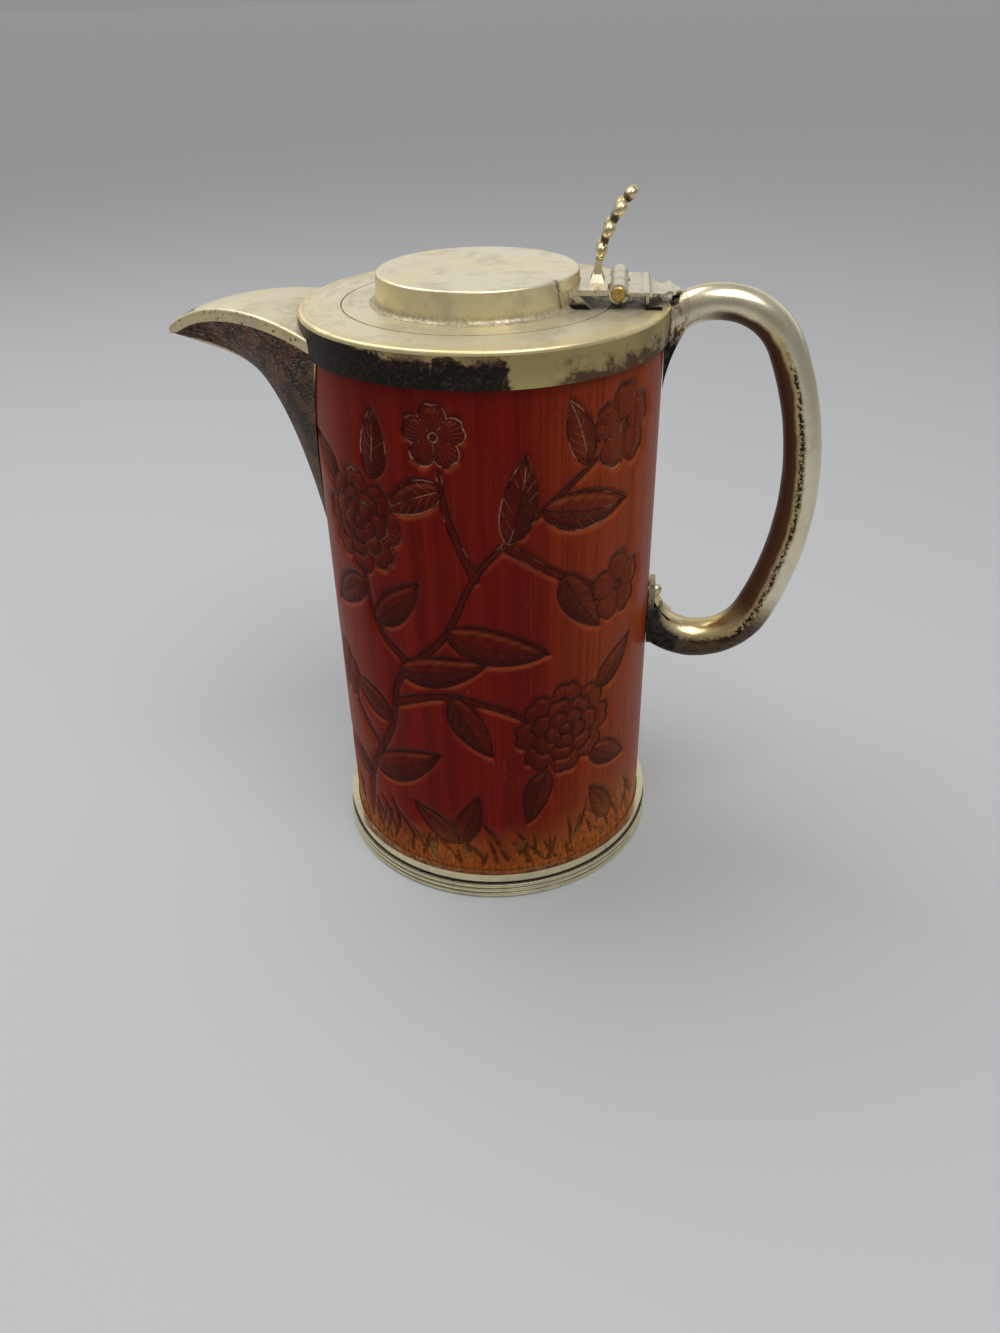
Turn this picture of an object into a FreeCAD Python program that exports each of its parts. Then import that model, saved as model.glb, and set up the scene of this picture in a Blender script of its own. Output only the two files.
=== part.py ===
import FreeCAD, Part
import math
import os

# Covered jug: a length of carved bamboo culm in silver-plated mounts, with a metal liner,
# a beak spout, a hollow loop handle and a lid on a pinned hinge.
# Origin at the centre of the foot, +Z up, spout toward -X, handle toward +X. Millimetres.

V = FreeCAD.Vector
ALONG_X = V(1, 0, 0)
ALONG_Y = V(0, 1, 0)
ALONG_Z = V(0, 0, 1)

# Clearances
solder_gap = 0.1  # between curved metal faces that are soldered together
seat_gap = 0.3  # between a metal mount and the bamboo that it grips
lid_gap = 0.4  # all round the edge of the lid
lid_rest_gap = 0.1  # between the closed lid and its ledge
pin_clearance = 0.05  # radial, between the hinge pin and its knuckles
swing_gap = 0.35  # between a hinge leaf and the knuckles that turn past it

# Bamboo body
body_radius = 50.5
body_length = 175.1
body_wall = 6.6

# Branch carved on the front and, the other way round, on the back of the bamboo. Places are shares of the
# panel between the mounts: sideways from its middle to the spout or handle, and up from ring to collar.
carving_depth = 0.4
stem_width = 2.2
stem_step_count = 2  # straight cuts from one of a stem's places to the next
leaf_curl = 0.14  # how far a leaf's tip bends aside, as a share of its length
leaf_widest = 0.42
petal_valley = 0.8
stems = [
    [
        (-0.58, 0.03),
        (-0.52, 0.17),
        (-0.37, 0.31),
        (-0.30, 0.44),
        (-0.10, 0.55),
        (0.03, 0.68),
        (0.24, 0.78),
        (0.47, 0.86),
    ],
    [(-0.33, 0.38), (-0.12, 0.42), (0.08, 0.40), (0.22, 0.36)],
    [(-0.26, 0.48), (-0.39, 0.54), (-0.44, 0.65)],
    [(0.02, 0.67), (-0.06, 0.77), (-0.09, 0.86)],
    [(0.13, 0.73), (0.33, 0.66), (0.48, 0.62)],
    [(-0.44, 0.25), (-0.56, 0.30), (-0.62, 0.34)],
]
# Leaves: place of the stalk, heading in degrees from sideways, length and width
leaves = [
    (-0.53, 0.15, 160, 24, 9.5),
    (-0.49, 0.19, 20, 31, 11.5),
    (-0.36, 0.33, 148, 22, 9.5),
    (-0.30, 0.46, 4, 29, 10.5),
    (-0.09, 0.56, -24, 31, 11.5),
    (-0.08, 0.83, 196, 20, 9.0),
    (0.14, 0.735, 70, 25, 10.0),
    (0.26, 0.79, -15, 29, 11.0),
    (0.43, 0.855, 100, 19, 8.5),
    (-0.08, 0.42, -70, 24, 10.0),
    (-0.40, 0.55, 35, 23, 9.5),
    (-0.43, 0.62, 205, 24, 9.5),
    (-0.55, 0.80, 140, 18, 8.5),
    (-0.36, 0.83, 75, 20, 9.0),
    (0.50, 0.40, 30, 20, 9.0),
    (0.28, 0.24, 245, 21, 9.0),
    (0.48, 0.26, -40, 20, 9.0),
    (0.34, 0.66, -65, 24, 10.0),
    (-0.10, 0.06, 60, 22, 8.0),
    (-0.10, 0.06, 128, 20, 8.0),
    (0.60, 0.05, 110, 20, 8.0),
]
# Blossoms: place of the middle and radius
double_petal_count = 8
single_petal_count = 5
double_blossoms = [(0.36, 0.33, 17.0), (-0.44, 0.74, 16.0)]
single_blossoms = [(0.60, 0.90, 12.0), (0.60, 0.60, 11.0), (-0.10, 0.92, 9.0), (-0.68, 0.38, 10.0)]

# Base plate and reeded base ring
base_plate_thickness = 1.5
base_ring_height = 9.5
base_ring_wall = 1.9
reed_count = 3
reed_pitch = 1.85
reed_depth = 0.9
base_groove_height = 0.6
base_groove_depth = 0.4
base_lip_height = 0.9
base_lip_depth = 0.3

# Liner
liner_gap = 1.2
liner_wall = 0.8
liner_floor = 1.0
liner_floor_gap = 2.0
liner_flange_thickness = 1.0
liner_flange_setback = 0.5

# Pour port from the liner into the spout
port_radius = 9.0
port_wall = 0.8
port_drop = 26.8  # from the top of the top plate down to the middle of the port
port_overhang = 1.0

# Collar band and top plate
collar_height = 9.7
collar_wall = 1.0
plate_thickness = 1.2
plate_edge_round = 1.1

# Mouth ring
mouth_margin = 2.2
ledge_width = 2.6
mouth_ring_thickness = 1.2

# Lid
lid_offset = 1.7
bezel_gap = 1.3
bezel_wall = 0.9
bezel_depth = 4.0
lid_border = 9.4  # flat edge of the lid round the crown
crown_height = 8.3
crown_wall = 0.9
crown_taper = 0.4
crown_edge_round = 0.9
crown_flare = 1.8

# Hinge
hinge_overhang = 1.0
hinge_rise = 4.0
hinge_width = 24.4
lid_knuckle_width = 9.0
pin_radius = 1.9
pin_stub = 0.3
knuckle_wall = 0.65
leaf_drop = 0.4  # underside of both leaves below the pin's axis
lid_leaf_thickness = 1.4
lid_leaf_leg_width = 1.6
lid_leaf_leg_length = 2.6
lid_leaf_leg_spread = 3.4  # how much longer the leg is at its foot
fixed_leaf_thickness = 0.8
fixed_leaf_length = 8.1
fixed_leaf_wall = 0.8
fixed_leaf_groove = 0.3
fixed_leaf_groove_setback = 1.9
fixed_flange_length = 4.4
fixed_flange_thickness = 0.9
tail_length = 8.6
tail_thickness = 0.8
# Along the tail's length, as a share of it: half of its width, and its top's height over the plate
tail_stations = [(0.15, 8.8), (0.32, 6.4), (0.5, 6.0), (0.68, 6.2), (0.86, 3.9), (1, 1.5)]
tail_wave = [(0.12, 3.6), (0.3, 2.95), (0.48, 2.85), (0.64, 3.5), (0.82, 3.0), (1, 3.05)]

# Thumbpiece
thumb_setback = 6.0
thumb_height = 21.0
thumb_bend_radius = 33.3
thumb_thickness = 2.0
thumb_stem_width = 5.0
thumb_top_width = 2.5
thumb_fan_width = 8.0
thumb_pad_width = 8.4
thumb_pad_length = 4.0
thumb_pad_height = 2.6
lobe_half_thickness = 1.6
lobe_half_height = 2.3
lobe_half_width = 2.8
lobe_spacing = 5.7
lobe_first = 8.4
lobe_top_overlap = 0.3  # of the top lobe over the last pair, as a share of the spacing
lobe_pair_offsets = [3.2, 4.6, 3.6]

# Spout, as two curves from the tip to the body: (beyond the body's radius, below the top plate)
keel_curve = [(42.5, 9.8), (15.0, 21.5), (8.6, 6.0), (-4.5, 119.8)]
rim_curve = [(42.9, 8.8), (36.6, 1.8), (16.0, -2.7), (-4.5, 4.15)]
spout_wedge_slope = 0.61
spout_wedge_reach = 38.4
spout_tip_width = 3.4
spout_nose_length = 3.6
spout_nose_bluntness = 1.08
spout_edge_band = 3.4
spout_edge_round = 1.2
spout_edge_round_share = 0.6  # most of the rim's depth or half-width that the rounding may take
spout_crown = 0.05  # rise of the cover's middle, as a share of its half-width
spout_wall = 0.9
spout_section_count = 22
spout_crowding = 1.35
shell_skip_count = 3  # sections from the tip to the start of the flanks, and of the channel
channel_skip_count = 5
spout_root = 1.09  # the curves run on past their end, into the body
pour_slot_start = 33.6
pour_slot_end = 39.0
pour_slot_rim = 1.2

# Handle: a long bow between two tight turns
handle_height = 107.3
handle_top_drop = 0.4
bow_radius = 101.3
top_turn_radius = 21.2
bottom_turn_radius = 19.4
tube_top_radius = 4.9
tube_bottom_radius = 6.2
tube_wall = 1.2
tube_section_count = 19
end_section_count = 5
root_angle = 143.0  # how far round its turn the upper end comes before it enters the body, from straight out
root_reach = 6.7  # from the bamboo to where the handle's upper end takes over from the tube
root_sink = 2.3  # of the upper end into the body's outline
root_flare = 0.7
root_tail_length = 25.5
root_tail_width = 9.6
root_tail_depth = 5.0
root_tail_start = 7.4
root_tail_middle = 1.5
root_tail_bulge = 0.62  # half-width half-way down, as a share of that at the top
foot_angle = 153.0
foot_reach = 9.8  # from the bamboo to where the lower end takes over
foot_sink = 1.5
foot_flare = 0.5
foot_tongue_rise = 22.6  # heights above the lowest point of the tube's middle line
foot_tongue_middle = 7.5
foot_tongue_base = -1.6
foot_tongue_width = 14.0
foot_tongue_bulge = 0.68  # half-width half-way up, as a share of the largest
foot_tongue_thickness = 1.9
foot_web_width = 8.0
foot_web_depth = 7.6
foot_web_scoop = 4.0
foot_web_base = 8.4

# Rivet through the handle's foot
rivet_rise = 17.2
rivet_head_radius = 2.1
rivet_shank_radius = 1.1
rove_radius = 2.6
rove_thickness = 0.6

# Levels and radii that follow from the sizes above
body_bottom_z = base_plate_thickness
body_top_z = body_bottom_z + body_length
plate_bottom_z = body_top_z + liner_flange_thickness
plate_top_z = plate_bottom_z + plate_thickness
collar_bottom_z = plate_top_z - collar_height
band_inner_radius = body_radius + seat_gap
collar_radius = band_inner_radius + collar_wall
base_ring_radius = band_inner_radius + base_ring_wall
body_bore_radius = body_radius - body_wall
liner_radius = body_bore_radius - liner_gap
bore_radius = liner_radius - liner_wall
port_z = plate_top_z - port_drop
lid_radius = bore_radius - lid_offset - mouth_margin
mouth_radius = lid_radius - ledge_width
crown_radius = lid_radius - lid_border
bezel_radius = mouth_radius - bezel_gap
lid_bottom_z = plate_bottom_z + lid_rest_gap
hinge_x = lid_radius - lid_offset + hinge_overhang
hinge_z = plate_top_z + hinge_rise
knuckle_radius = pin_radius + pin_clearance + knuckle_wall
knuckle_bore = pin_radius + pin_clearance
leaf_bottom_z = hinge_z - leaf_drop
lid_leaf_top_z = leaf_bottom_z + lid_leaf_thickness
handle_top_z = plate_top_z - handle_top_drop
handle_bottom_z = handle_top_z - handle_height
foot_rivet_z = handle_bottom_z + rivet_rise
cut_reach = 2 * body_radius  # longer than anything that it cuts through


def line(start, end):
    return Part.makeLine(start, end)


def arc(start, middle, end):
    return Part.Arc(start, middle, end).toShape()


def face_of(edges):
    return Part.Face(Part.Wire(edges))


def polygon_face(points):
    return Part.Face(Part.makePolygon(points + points[:1]))


def turned(face):
    """Solid of revolution about the jug's axis."""
    return face.revolve(V(0, 0, 0), ALONG_Z, 360)


def disc(radius, bottom, top, x=0.0):
    return Part.makeCylinder(radius, top - bottom, V(x, 0, bottom))


def tube(inner, outer, bottom, top, x=0.0):
    return disc(outer, bottom, top, x).cut(disc(inner, bottom, top, x))


def rod_along_y(radius, start, end, x, z):
    return Part.makeCylinder(radius, end - start, V(x, start, z), ALONG_Y)


def rod_along_x(radius, start, end, z):
    return Part.makeCylinder(radius, end - start, V(start, 0, z), ALONG_X)


def block(low, high):
    size = high.sub(low)
    return Part.makeBox(size.x, size.y, size.z, low)


def body_seat():
    """What a mount on the outside of the body has to clear: the bamboo and the collar above it."""
    bamboo = disc(band_inner_radius, 0, collar_bottom_z)
    collar = disc(collar_radius + solder_gap, collar_bottom_z - seat_gap, plate_top_z + cut_reach)
    return bamboo.fuse(collar)


# Carving


def heading_vectors(heading):
    """Directions along and across a heading, in the plane that faces +X."""
    ahead = V(0, math.cos(math.radians(heading)), math.sin(math.radians(heading)))
    return ahead, V(0, -ahead.z, ahead.y)


def leaf_face(heading, length, width):
    """Pointed leaf about its own middle."""
    ahead, aside = heading_vectors(heading)
    stalk = ahead * (-length / 2)
    tip = ahead * (length / 2) + aside * (leaf_curl * length)
    spine = stalk + ahead * (leaf_widest * length) + aside * (leaf_curl * length * leaf_widest**2)
    half = aside * (width / 2)
    return face_of([arc(stalk, spine + half, tip), arc(tip, spine - half, stalk)])


def slot_face(heading, length, width):
    """Straight cut with round ends about its own middle."""
    ahead, aside = heading_vectors(heading)
    end = ahead * (length / 2)
    half = aside * (width / 2)
    cap = ahead * (width / 2)
    return face_of(
        [
            line(half - end, end + half),
            arc(end + half, end + cap, end - half),
            line(end - half, half * -1 - end),
            arc(half * -1 - end, end * -1 - cap, half - end),
        ]
    )


def blossom_face(radius, petal_count):
    """Scalloped outline of a blossom."""
    valley = radius * petal_valley * math.cos(math.pi / petal_count)

    def at(turn, reach):
        angle = 2 * math.pi * turn / petal_count
        return V(0, reach * math.sin(angle), reach * math.cos(angle))

    edges = []
    for petal in range(petal_count):
        edges.append(arc(at(petal - 0.5, valley), at(petal, radius), at(petal + 0.5, valley)))
    return face_of(edges)


def smooth_path(places):
    """Places on a smooth line through the given ones, by Catmull and Rom's rule."""
    ends = [places[0]] + places + [places[-1]]
    path = []
    for a, b, c, d in zip(ends, ends[1:], ends[2:], ends[3:]):
        for step in range(stem_step_count):
            t = step / stem_step_count
            weights = (-t + 2 * t**2 - t**3, 2 - 5 * t**2 + 3 * t**3, t + 4 * t**2 - 3 * t**3, t**3 - t**2)
            place = [sum(w * p[axis] for w, p in zip(weights, (a, b, c, d))) / 2 for axis in (0, 1)]
            path.append(tuple(place))
    return path + [places[-1]]


def panel_patches(middle_angle, side):
    """Everything carved on one panel, each form run out through the bamboo's skin at its own middle."""
    panel_height = collar_bottom_z - base_ring_height
    quarter = body_radius * math.pi / 2
    patches = []

    def run_out(face, along, z):
        patch = face.extrude(V(body_wall + carving_depth, 0, 0))
        patch.translate(V(body_bore_radius, 0, z))
        patch.rotate(V(0, 0, 0), ALONG_Z, middle_angle + math.degrees(along / body_radius))
        patches.append(patch)

    def flat(sideways, up):
        return side * sideways * quarter, base_ring_height + up * panel_height

    for places in stems:
        path = [flat(*place) for place in smooth_path(places)]
        for (start, low), (end, high) in zip(path, path[1:]):
            heading = math.degrees(math.atan2(high - low, end - start))
            length = math.hypot(end - start, high - low)
            run_out(slot_face(heading, length, stem_width), (start + end) / 2, (low + high) / 2)
    for sideways, up, heading, length, width in leaves:
        heading = heading if side > 0 else 180 - heading
        ahead = heading_vectors(heading)[0] * (length / 2)
        along, z = flat(sideways, up)
        run_out(leaf_face(heading, length, width), along + ahead.y, z + ahead.z)
    for sideways, up, radius in double_blossoms:
        run_out(blossom_face(radius, double_petal_count), *flat(sideways, up))
    for sideways, up, radius in single_blossoms:
        run_out(blossom_face(radius, single_petal_count), *flat(sideways, up))
    return patches


# Body and base


def make_bamboo_body():
    culm = tube(body_bore_radius, body_radius, body_bottom_z, body_top_z)
    port = rod_along_x(port_radius + seat_gap, -cut_reach, 0, port_z)
    rivet_hole = rod_along_x(rivet_shank_radius + solder_gap, 0, cut_reach, foot_rivet_z)
    culm = culm.cut(port).cut(rivet_hole)
    skin = tube(body_radius - carving_depth, body_radius + carving_depth, base_ring_height, collar_bottom_z)
    for middle_angle, side in ((-90, 1), (90, -1)):
        patches = panel_patches(middle_angle, side)
        culm = culm.cut(patches[0].fuse(patches[1:]).common(skin))
    return culm


def make_base_plate():
    return disc(band_inner_radius - solder_gap, 0, base_plate_thickness)


def make_base_ring():
    edges = [line(V(band_inner_radius, 0, 0), V(base_ring_radius, 0, 0))]
    for reed in range(reed_count):
        low = reed * reed_pitch
        middle = V(base_ring_radius + reed_depth, 0, low + reed_pitch / 2)
        edges.append(arc(V(base_ring_radius, 0, low), middle, V(base_ring_radius, 0, low + reed_pitch)))
    reeds_top = reed_count * reed_pitch
    groove_radius = base_ring_radius - base_groove_depth
    groove_top = reeds_top + base_groove_height
    lip_radius = base_ring_radius + base_lip_depth
    lip_bottom = base_ring_height - base_lip_height
    outline = [
        V(base_ring_radius, 0, reeds_top),
        V(groove_radius, 0, reeds_top),
        V(groove_radius, 0, groove_top),
        V(base_ring_radius, 0, groove_top),
        V(base_ring_radius, 0, lip_bottom),
        V(lip_radius, 0, lip_bottom),
        V(lip_radius, 0, base_ring_height),
        V(band_inner_radius, 0, base_ring_height),
        V(band_inner_radius, 0, 0),
    ]
    for start, end in zip(outline, outline[1:]):
        edges.append(line(start, end))
    return turned(face_of(edges))


def make_inner_liner():
    floor_z = body_bottom_z + liner_floor_gap
    flange_radius = body_radius - liner_flange_setback
    outline = [
        V(0, 0, floor_z),
        V(liner_radius, 0, floor_z),
        V(liner_radius, 0, body_top_z),
        V(flange_radius, 0, body_top_z),
        V(flange_radius, 0, plate_bottom_z),
        V(bore_radius, 0, plate_bottom_z),
        V(bore_radius, 0, floor_z + liner_floor),
        V(0, 0, floor_z + liner_floor),
    ]
    port = rod_along_x(port_radius + solder_gap, -cut_reach, 0, port_z)
    return turned(polygon_face(outline)).cut(port)


def make_pour_sleeve():
    inner_end = -math.sqrt(bore_radius**2 - port_radius**2) + port_overhang / 2
    outer_end = -body_radius - port_overhang
    sleeve = rod_along_x(port_radius, outer_end, inner_end, port_z)
    return sleeve.cut(rod_along_x(port_radius - port_wall, outer_end, inner_end, port_z))


# Collar, top plate and mouth


def make_collar_band():
    return tube(band_inner_radius, collar_radius, collar_bottom_z, plate_bottom_z)


def make_top_plate():
    round_start = V(collar_radius, 0, plate_top_z - plate_edge_round)
    round_end = V(collar_radius - plate_edge_round, 0, plate_top_z)
    diagonal = plate_edge_round * (1 - math.sqrt(0.5))
    round_middle = V(collar_radius - diagonal, 0, plate_top_z - diagonal)
    corner = V(0, 0, plate_bottom_z)
    edges = [
        line(corner, V(collar_radius, 0, plate_bottom_z)),
        line(V(collar_radius, 0, plate_bottom_z), round_start),
        arc(round_start, round_middle, round_end),
        line(round_end, V(0, 0, plate_top_z)),
        line(V(0, 0, plate_top_z), corner),
    ]
    mouth = disc(lid_radius + lid_gap, plate_bottom_z, plate_top_z, -lid_offset)
    return turned(face_of(edges)).cut(mouth)


def make_mouth_ring():
    outer = bore_radius - lid_offset - seat_gap
    return tube(mouth_radius, outer, plate_bottom_z - mouth_ring_thickness, plate_bottom_z, -lid_offset)


# Lid


def make_lid_disc():
    return disc(lid_radius, lid_bottom_z, plate_top_z, -lid_offset)


def make_lid_bezel():
    inner = bezel_radius - bezel_wall
    return tube(inner, bezel_radius, lid_bottom_z - bezel_depth, lid_bottom_z, -lid_offset)


def crown_outside(grow=0.0):
    """Full outer form of the crown; grow adds to its radius all over."""
    foot = crown_radius + crown_flare + grow
    wall_foot = crown_radius + grow
    shoulder = wall_foot - crown_taper
    top_z = plate_top_z + crown_height
    flare_middle = crown_flare * (1 - math.sqrt(0.5))
    round_middle = crown_edge_round * (1 - math.sqrt(0.5))
    flare_end = V(wall_foot, 0, plate_top_z + crown_flare)
    round_start = V(shoulder, 0, top_z - crown_edge_round)
    round_end = V(shoulder - crown_edge_round, 0, top_z)
    edges = [
        line(V(0, 0, plate_top_z), V(foot, 0, plate_top_z)),
        arc(V(foot, 0, plate_top_z), V(wall_foot + flare_middle, 0, plate_top_z + flare_middle), flare_end),
        line(flare_end, round_start),
        arc(round_start, V(shoulder - round_middle, 0, top_z - round_middle), round_end),
        line(round_end, V(0, 0, top_z)),
        line(V(0, 0, top_z), V(0, 0, plate_top_z)),
    ]
    crown = turned(face_of(edges))
    crown.translate(V(-lid_offset, 0, 0))
    return crown


def make_lid_crown():
    inner_top = plate_top_z + crown_height - crown_wall
    inside = Part.makeCone(
        crown_radius - crown_wall,
        crown_radius - crown_wall - crown_taper,
        inner_top - plate_top_z,
        V(-lid_offset, 0, plate_top_z),
    )
    return crown_outside().cut(inside)


# Hinge


def make_lid_hinge_leaf():
    half = hinge_width / 2
    knuckle_half = lid_knuckle_width / 2
    wing_end = hinge_x - knuckle_radius - swing_gap
    plate = block(V(-lid_offset, -half, leaf_bottom_z), V(wing_end, half, lid_leaf_top_z))
    neck = block(V(wing_end, -knuckle_half, leaf_bottom_z), V(hinge_x, knuckle_half, lid_leaf_top_z))
    knuckle = rod_along_y(knuckle_radius, -knuckle_half, knuckle_half, hinge_x, hinge_z)
    leaf = plate.fuse([neck, knuckle])
    wall_x = math.sqrt(crown_radius**2 - half**2) - lid_offset
    leg_end = wall_x + lid_leaf_leg_length
    for leg_y in (-half, half - lid_leaf_leg_width):
        outline = [
            V(wall_x, leg_y, plate_top_z),
            V(leg_end + lid_leaf_leg_spread, leg_y, plate_top_z),
            V(leg_end, leg_y, leaf_bottom_z),
            V(wall_x, leg_y, leaf_bottom_z),
        ]
        leaf = leaf.fuse(polygon_face(outline).extrude(V(0, lid_leaf_leg_width, 0)))
    bore = rod_along_y(knuckle_bore, -half, half, hinge_x, hinge_z)
    return leaf.cut(crown_outside(solder_gap)).cut(bore).removeSplitter()


def spline(points):
    curve = Part.BSplineCurve()
    curve.interpolate(points)
    return curve.toShape()


def make_tail(leaf_top_z):
    """Tail of the fixed leaf: an ogee outline, narrow at the handle, on a plate that is bent in a wave."""
    leaf_end = hinge_x + fixed_leaf_length
    start_x = leaf_end - fixed_leaf_wall
    tip_x = leaf_end + tail_length
    half = hinge_width / 2
    tip_half = tail_stations[-1][1]
    edges = [
        line(V(start_x, half, plate_top_z), V(start_x, -half, plate_top_z)),
        line(V(tip_x, -tip_half, plate_top_z), V(tip_x, tip_half, plate_top_z)),
    ]
    for side in (-1, 1):
        stations = [(0, half)] + tail_stations
        bend = [V(leaf_end + tail_length * s, side * wide, plate_top_z) for s, wide in stations]
        edges.append(spline(bend))
        edges.append(line(V(start_x, side * half, plate_top_z), V(leaf_end, side * half, plate_top_z)))
    outline = Part.Face(Part.Wire(Part.__sortEdges__(edges)))
    tops = [V(leaf_end + tail_length * s, -half, plate_top_z + rise) for s, rise in tail_wave]
    down = V(0, 0, -tail_thickness)
    root = V(leaf_end, -half, leaf_top_z)
    start = V(start_x, -half, leaf_top_z)
    wave = spline([root] + tops)
    under = wave.translated(down)
    side_face = Part.Face(
        Part.Wire(
            Part.__sortEdges__(
                [
                    line(start, root),
                    wave,
                    line(tops[-1], tops[-1] + down),
                    under,
                    line(root + down, start + down),
                    line(start + down, start),
                ]
            )
        )
    )
    plate = side_face.extrude(V(0, hinge_width, 0))
    return plate.common(outline.extrude(V(0, 0, leaf_top_z - plate_top_z)))


def make_hinge_fixed_leaf():
    half = hinge_width / 2
    knuckle_start = lid_knuckle_width / 2 + swing_gap
    leaf_top_z = leaf_bottom_z + fixed_leaf_thickness
    leaf_end = hinge_x + fixed_leaf_length
    wall_start = leaf_end - fixed_leaf_wall
    wing_start = hinge_x + knuckle_radius + swing_gap
    pieces = [
        block(V(wall_start, -half, plate_top_z), V(leaf_end, half, leaf_top_z)),
        block(
            V(wall_start, -half, plate_top_z),
            V(leaf_end + fixed_flange_length - fixed_leaf_wall, half, plate_top_z + fixed_flange_thickness),
        ),
        make_tail(leaf_top_z),
    ]
    for low_y, high_y in ((-half, -knuckle_start), (knuckle_start, half)):
        pieces.append(rod_along_y(knuckle_radius, low_y, high_y, hinge_x, hinge_z))
        pieces.append(block(V(hinge_x, low_y, leaf_bottom_z), V(wing_start, high_y, leaf_top_z)))
    leaf = block(V(wing_start, -half, leaf_bottom_z), V(leaf_end, half, leaf_top_z)).fuse(pieces)
    bore = rod_along_y(knuckle_bore, -half, half, hinge_x, hinge_z)
    groove = rod_along_y(fixed_leaf_groove, -half, half, leaf_end - fixed_leaf_groove_setback, leaf_top_z)
    return leaf.cut(bore).cut(groove).removeSplitter()


def make_hinge_pin():
    half = hinge_width / 2 + pin_stub
    pin = rod_along_y(pin_radius, -half, half, hinge_x, hinge_z)
    end_edges = [edge for edge in pin.Edges if isinstance(edge.Curve, Part.Circle)]
    return pin.makeChamfer(pin_stub, end_edges)


# Thumbpiece


def thumb_point(height_along, y):
    """Point on the bent middle surface of the thumbpiece, and how far it leans in degrees."""
    lean = height_along / thumb_bend_radius
    x = hinge_x - thumb_setback + thumb_bend_radius * (1 - math.cos(lean))
    z = lid_leaf_top_z + thumb_bend_radius * math.sin(lean)
    return V(x, y, z), math.degrees(lean)


def thumb_lobe(height_along, y):
    lobe = Part.makeSphere(1.0)
    stretch = FreeCAD.Matrix()
    stretch.scale(lobe_half_thickness, lobe_half_width, lobe_half_height)
    lobe = lobe.transformGeometry(stretch)
    place, lean = thumb_point(height_along, y)
    lobe.rotate(V(0, 0, 0), ALONG_Y, lean)
    lobe.translate(place)
    return lobe


def level_rectangle(x, z, length, width):
    corners = [(-1, -1), (1, -1), (1, 1), (-1, 1), (-1, -1)]
    return Part.makePolygon([V(x + length / 2 * ahead, width / 2 * side, z) for ahead, side in corners])


def make_thumbpiece():
    stem_x = hinge_x - thumb_setback
    centre = V(stem_x + thumb_bend_radius, 0, lid_leaf_top_z)
    outer_radius = thumb_bend_radius + thumb_thickness / 2
    outer = rod_along_y(outer_radius, -thumb_fan_width, thumb_fan_width, centre.x, centre.z)
    inner = rod_along_y(outer_radius - thumb_thickness, -thumb_fan_width, thumb_fan_width, centre.x, centre.z)
    fan_z = lid_leaf_top_z + lobe_first
    top_z = lid_leaf_top_z + thumb_height
    outline = [
        V(0, -thumb_stem_width / 2, lid_leaf_top_z),
        V(0, thumb_stem_width / 2, lid_leaf_top_z),
        V(0, thumb_fan_width / 2, fan_z),
        V(0, thumb_fan_width / 2, top_z - lobe_spacing / 2),
        V(0, thumb_top_width / 2, top_z),
        V(0, -thumb_top_width / 2, top_z),
        V(0, -thumb_fan_width / 2, top_z - lobe_spacing / 2),
        V(0, -thumb_fan_width / 2, fan_z),
    ]
    blade = polygon_face(outline).extrude(V(centre.x, 0, 0)).common(outer.cut(inner))
    lobes = []
    for step, offset in enumerate(lobe_pair_offsets):
        for side in (-1, 1):
            lobes.append(thumb_lobe(lobe_first + step * lobe_spacing, side * offset))
    top_step = len(lobe_pair_offsets) - lobe_top_overlap
    lobes.append(thumb_lobe(lobe_first + top_step * lobe_spacing, 0))
    pad_z = lid_leaf_top_z + thumb_pad_height
    pad_bottom = level_rectangle(stem_x, lid_leaf_top_z, thumb_pad_length, thumb_pad_width)
    pad_top = level_rectangle(stem_x, pad_z, thumb_thickness, thumb_stem_width)
    return blade.fuse(lobes + [Part.makeLoft([pad_bottom, pad_top], True, True)])


# Spout


def bezier(points, t):
    weights = [(1 - t) ** 3, 3 * (1 - t) ** 2 * t, 3 * (1 - t) * t**2, t**3]
    reach = sum(weight * point[0] for weight, point in zip(weights, points))
    drop = sum(weight * point[1] for weight, point in zip(weights, points))
    return reach, drop


def spout_nose(reach):
    """1 along the spout, falling to a small share at its tip."""
    tip = rim_curve[0][0]
    into_nose = max(0.0, reach - tip + spout_nose_length) / (spout_nose_length * spout_nose_bluntness)
    return math.sqrt(1 - into_nose**2)


def spout_half_width(reach):
    """A straight wedge with a blunt point."""
    wedge = spout_wedge_slope * (spout_wedge_reach - reach)
    return (wedge + math.sqrt(wedge**2 + spout_tip_width**2)) / 2 * spout_nose(reach)


def rim_point(t):
    """Distance from the axis, half-width, height of the upper edge and of the lower edge of the band."""
    reach, drop = bezier(rim_curve, t)
    top = plate_top_z - drop
    return body_radius + reach, spout_half_width(reach), top, top - spout_edge_band * spout_nose(reach)


def cover_section(t):
    reach, half, top, low = rim_point(t)
    edge_round = min(spout_edge_round, min(half, top - low) * spout_edge_round_share)
    diagonal = edge_round * (1 - math.sqrt(0.5))
    crown = V(-reach, 0, top + spout_crown * half)

    def at(y, z):
        return V(-reach, y, z)

    return Part.Wire(
        [
            line(at(-half, low), at(half, low)),
            line(at(half, low), at(half, top - edge_round)),
            arc(at(half, top - edge_round), at(half - diagonal, top - diagonal), at(half - edge_round, top)),
            arc(at(half - edge_round, top), crown, at(edge_round - half, top)),
            arc(at(edge_round - half, top), at(diagonal - half, top - diagonal), at(-half, top - edge_round)),
            line(at(-half, top - edge_round), at(-half, low)),
        ]
    )


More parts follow.
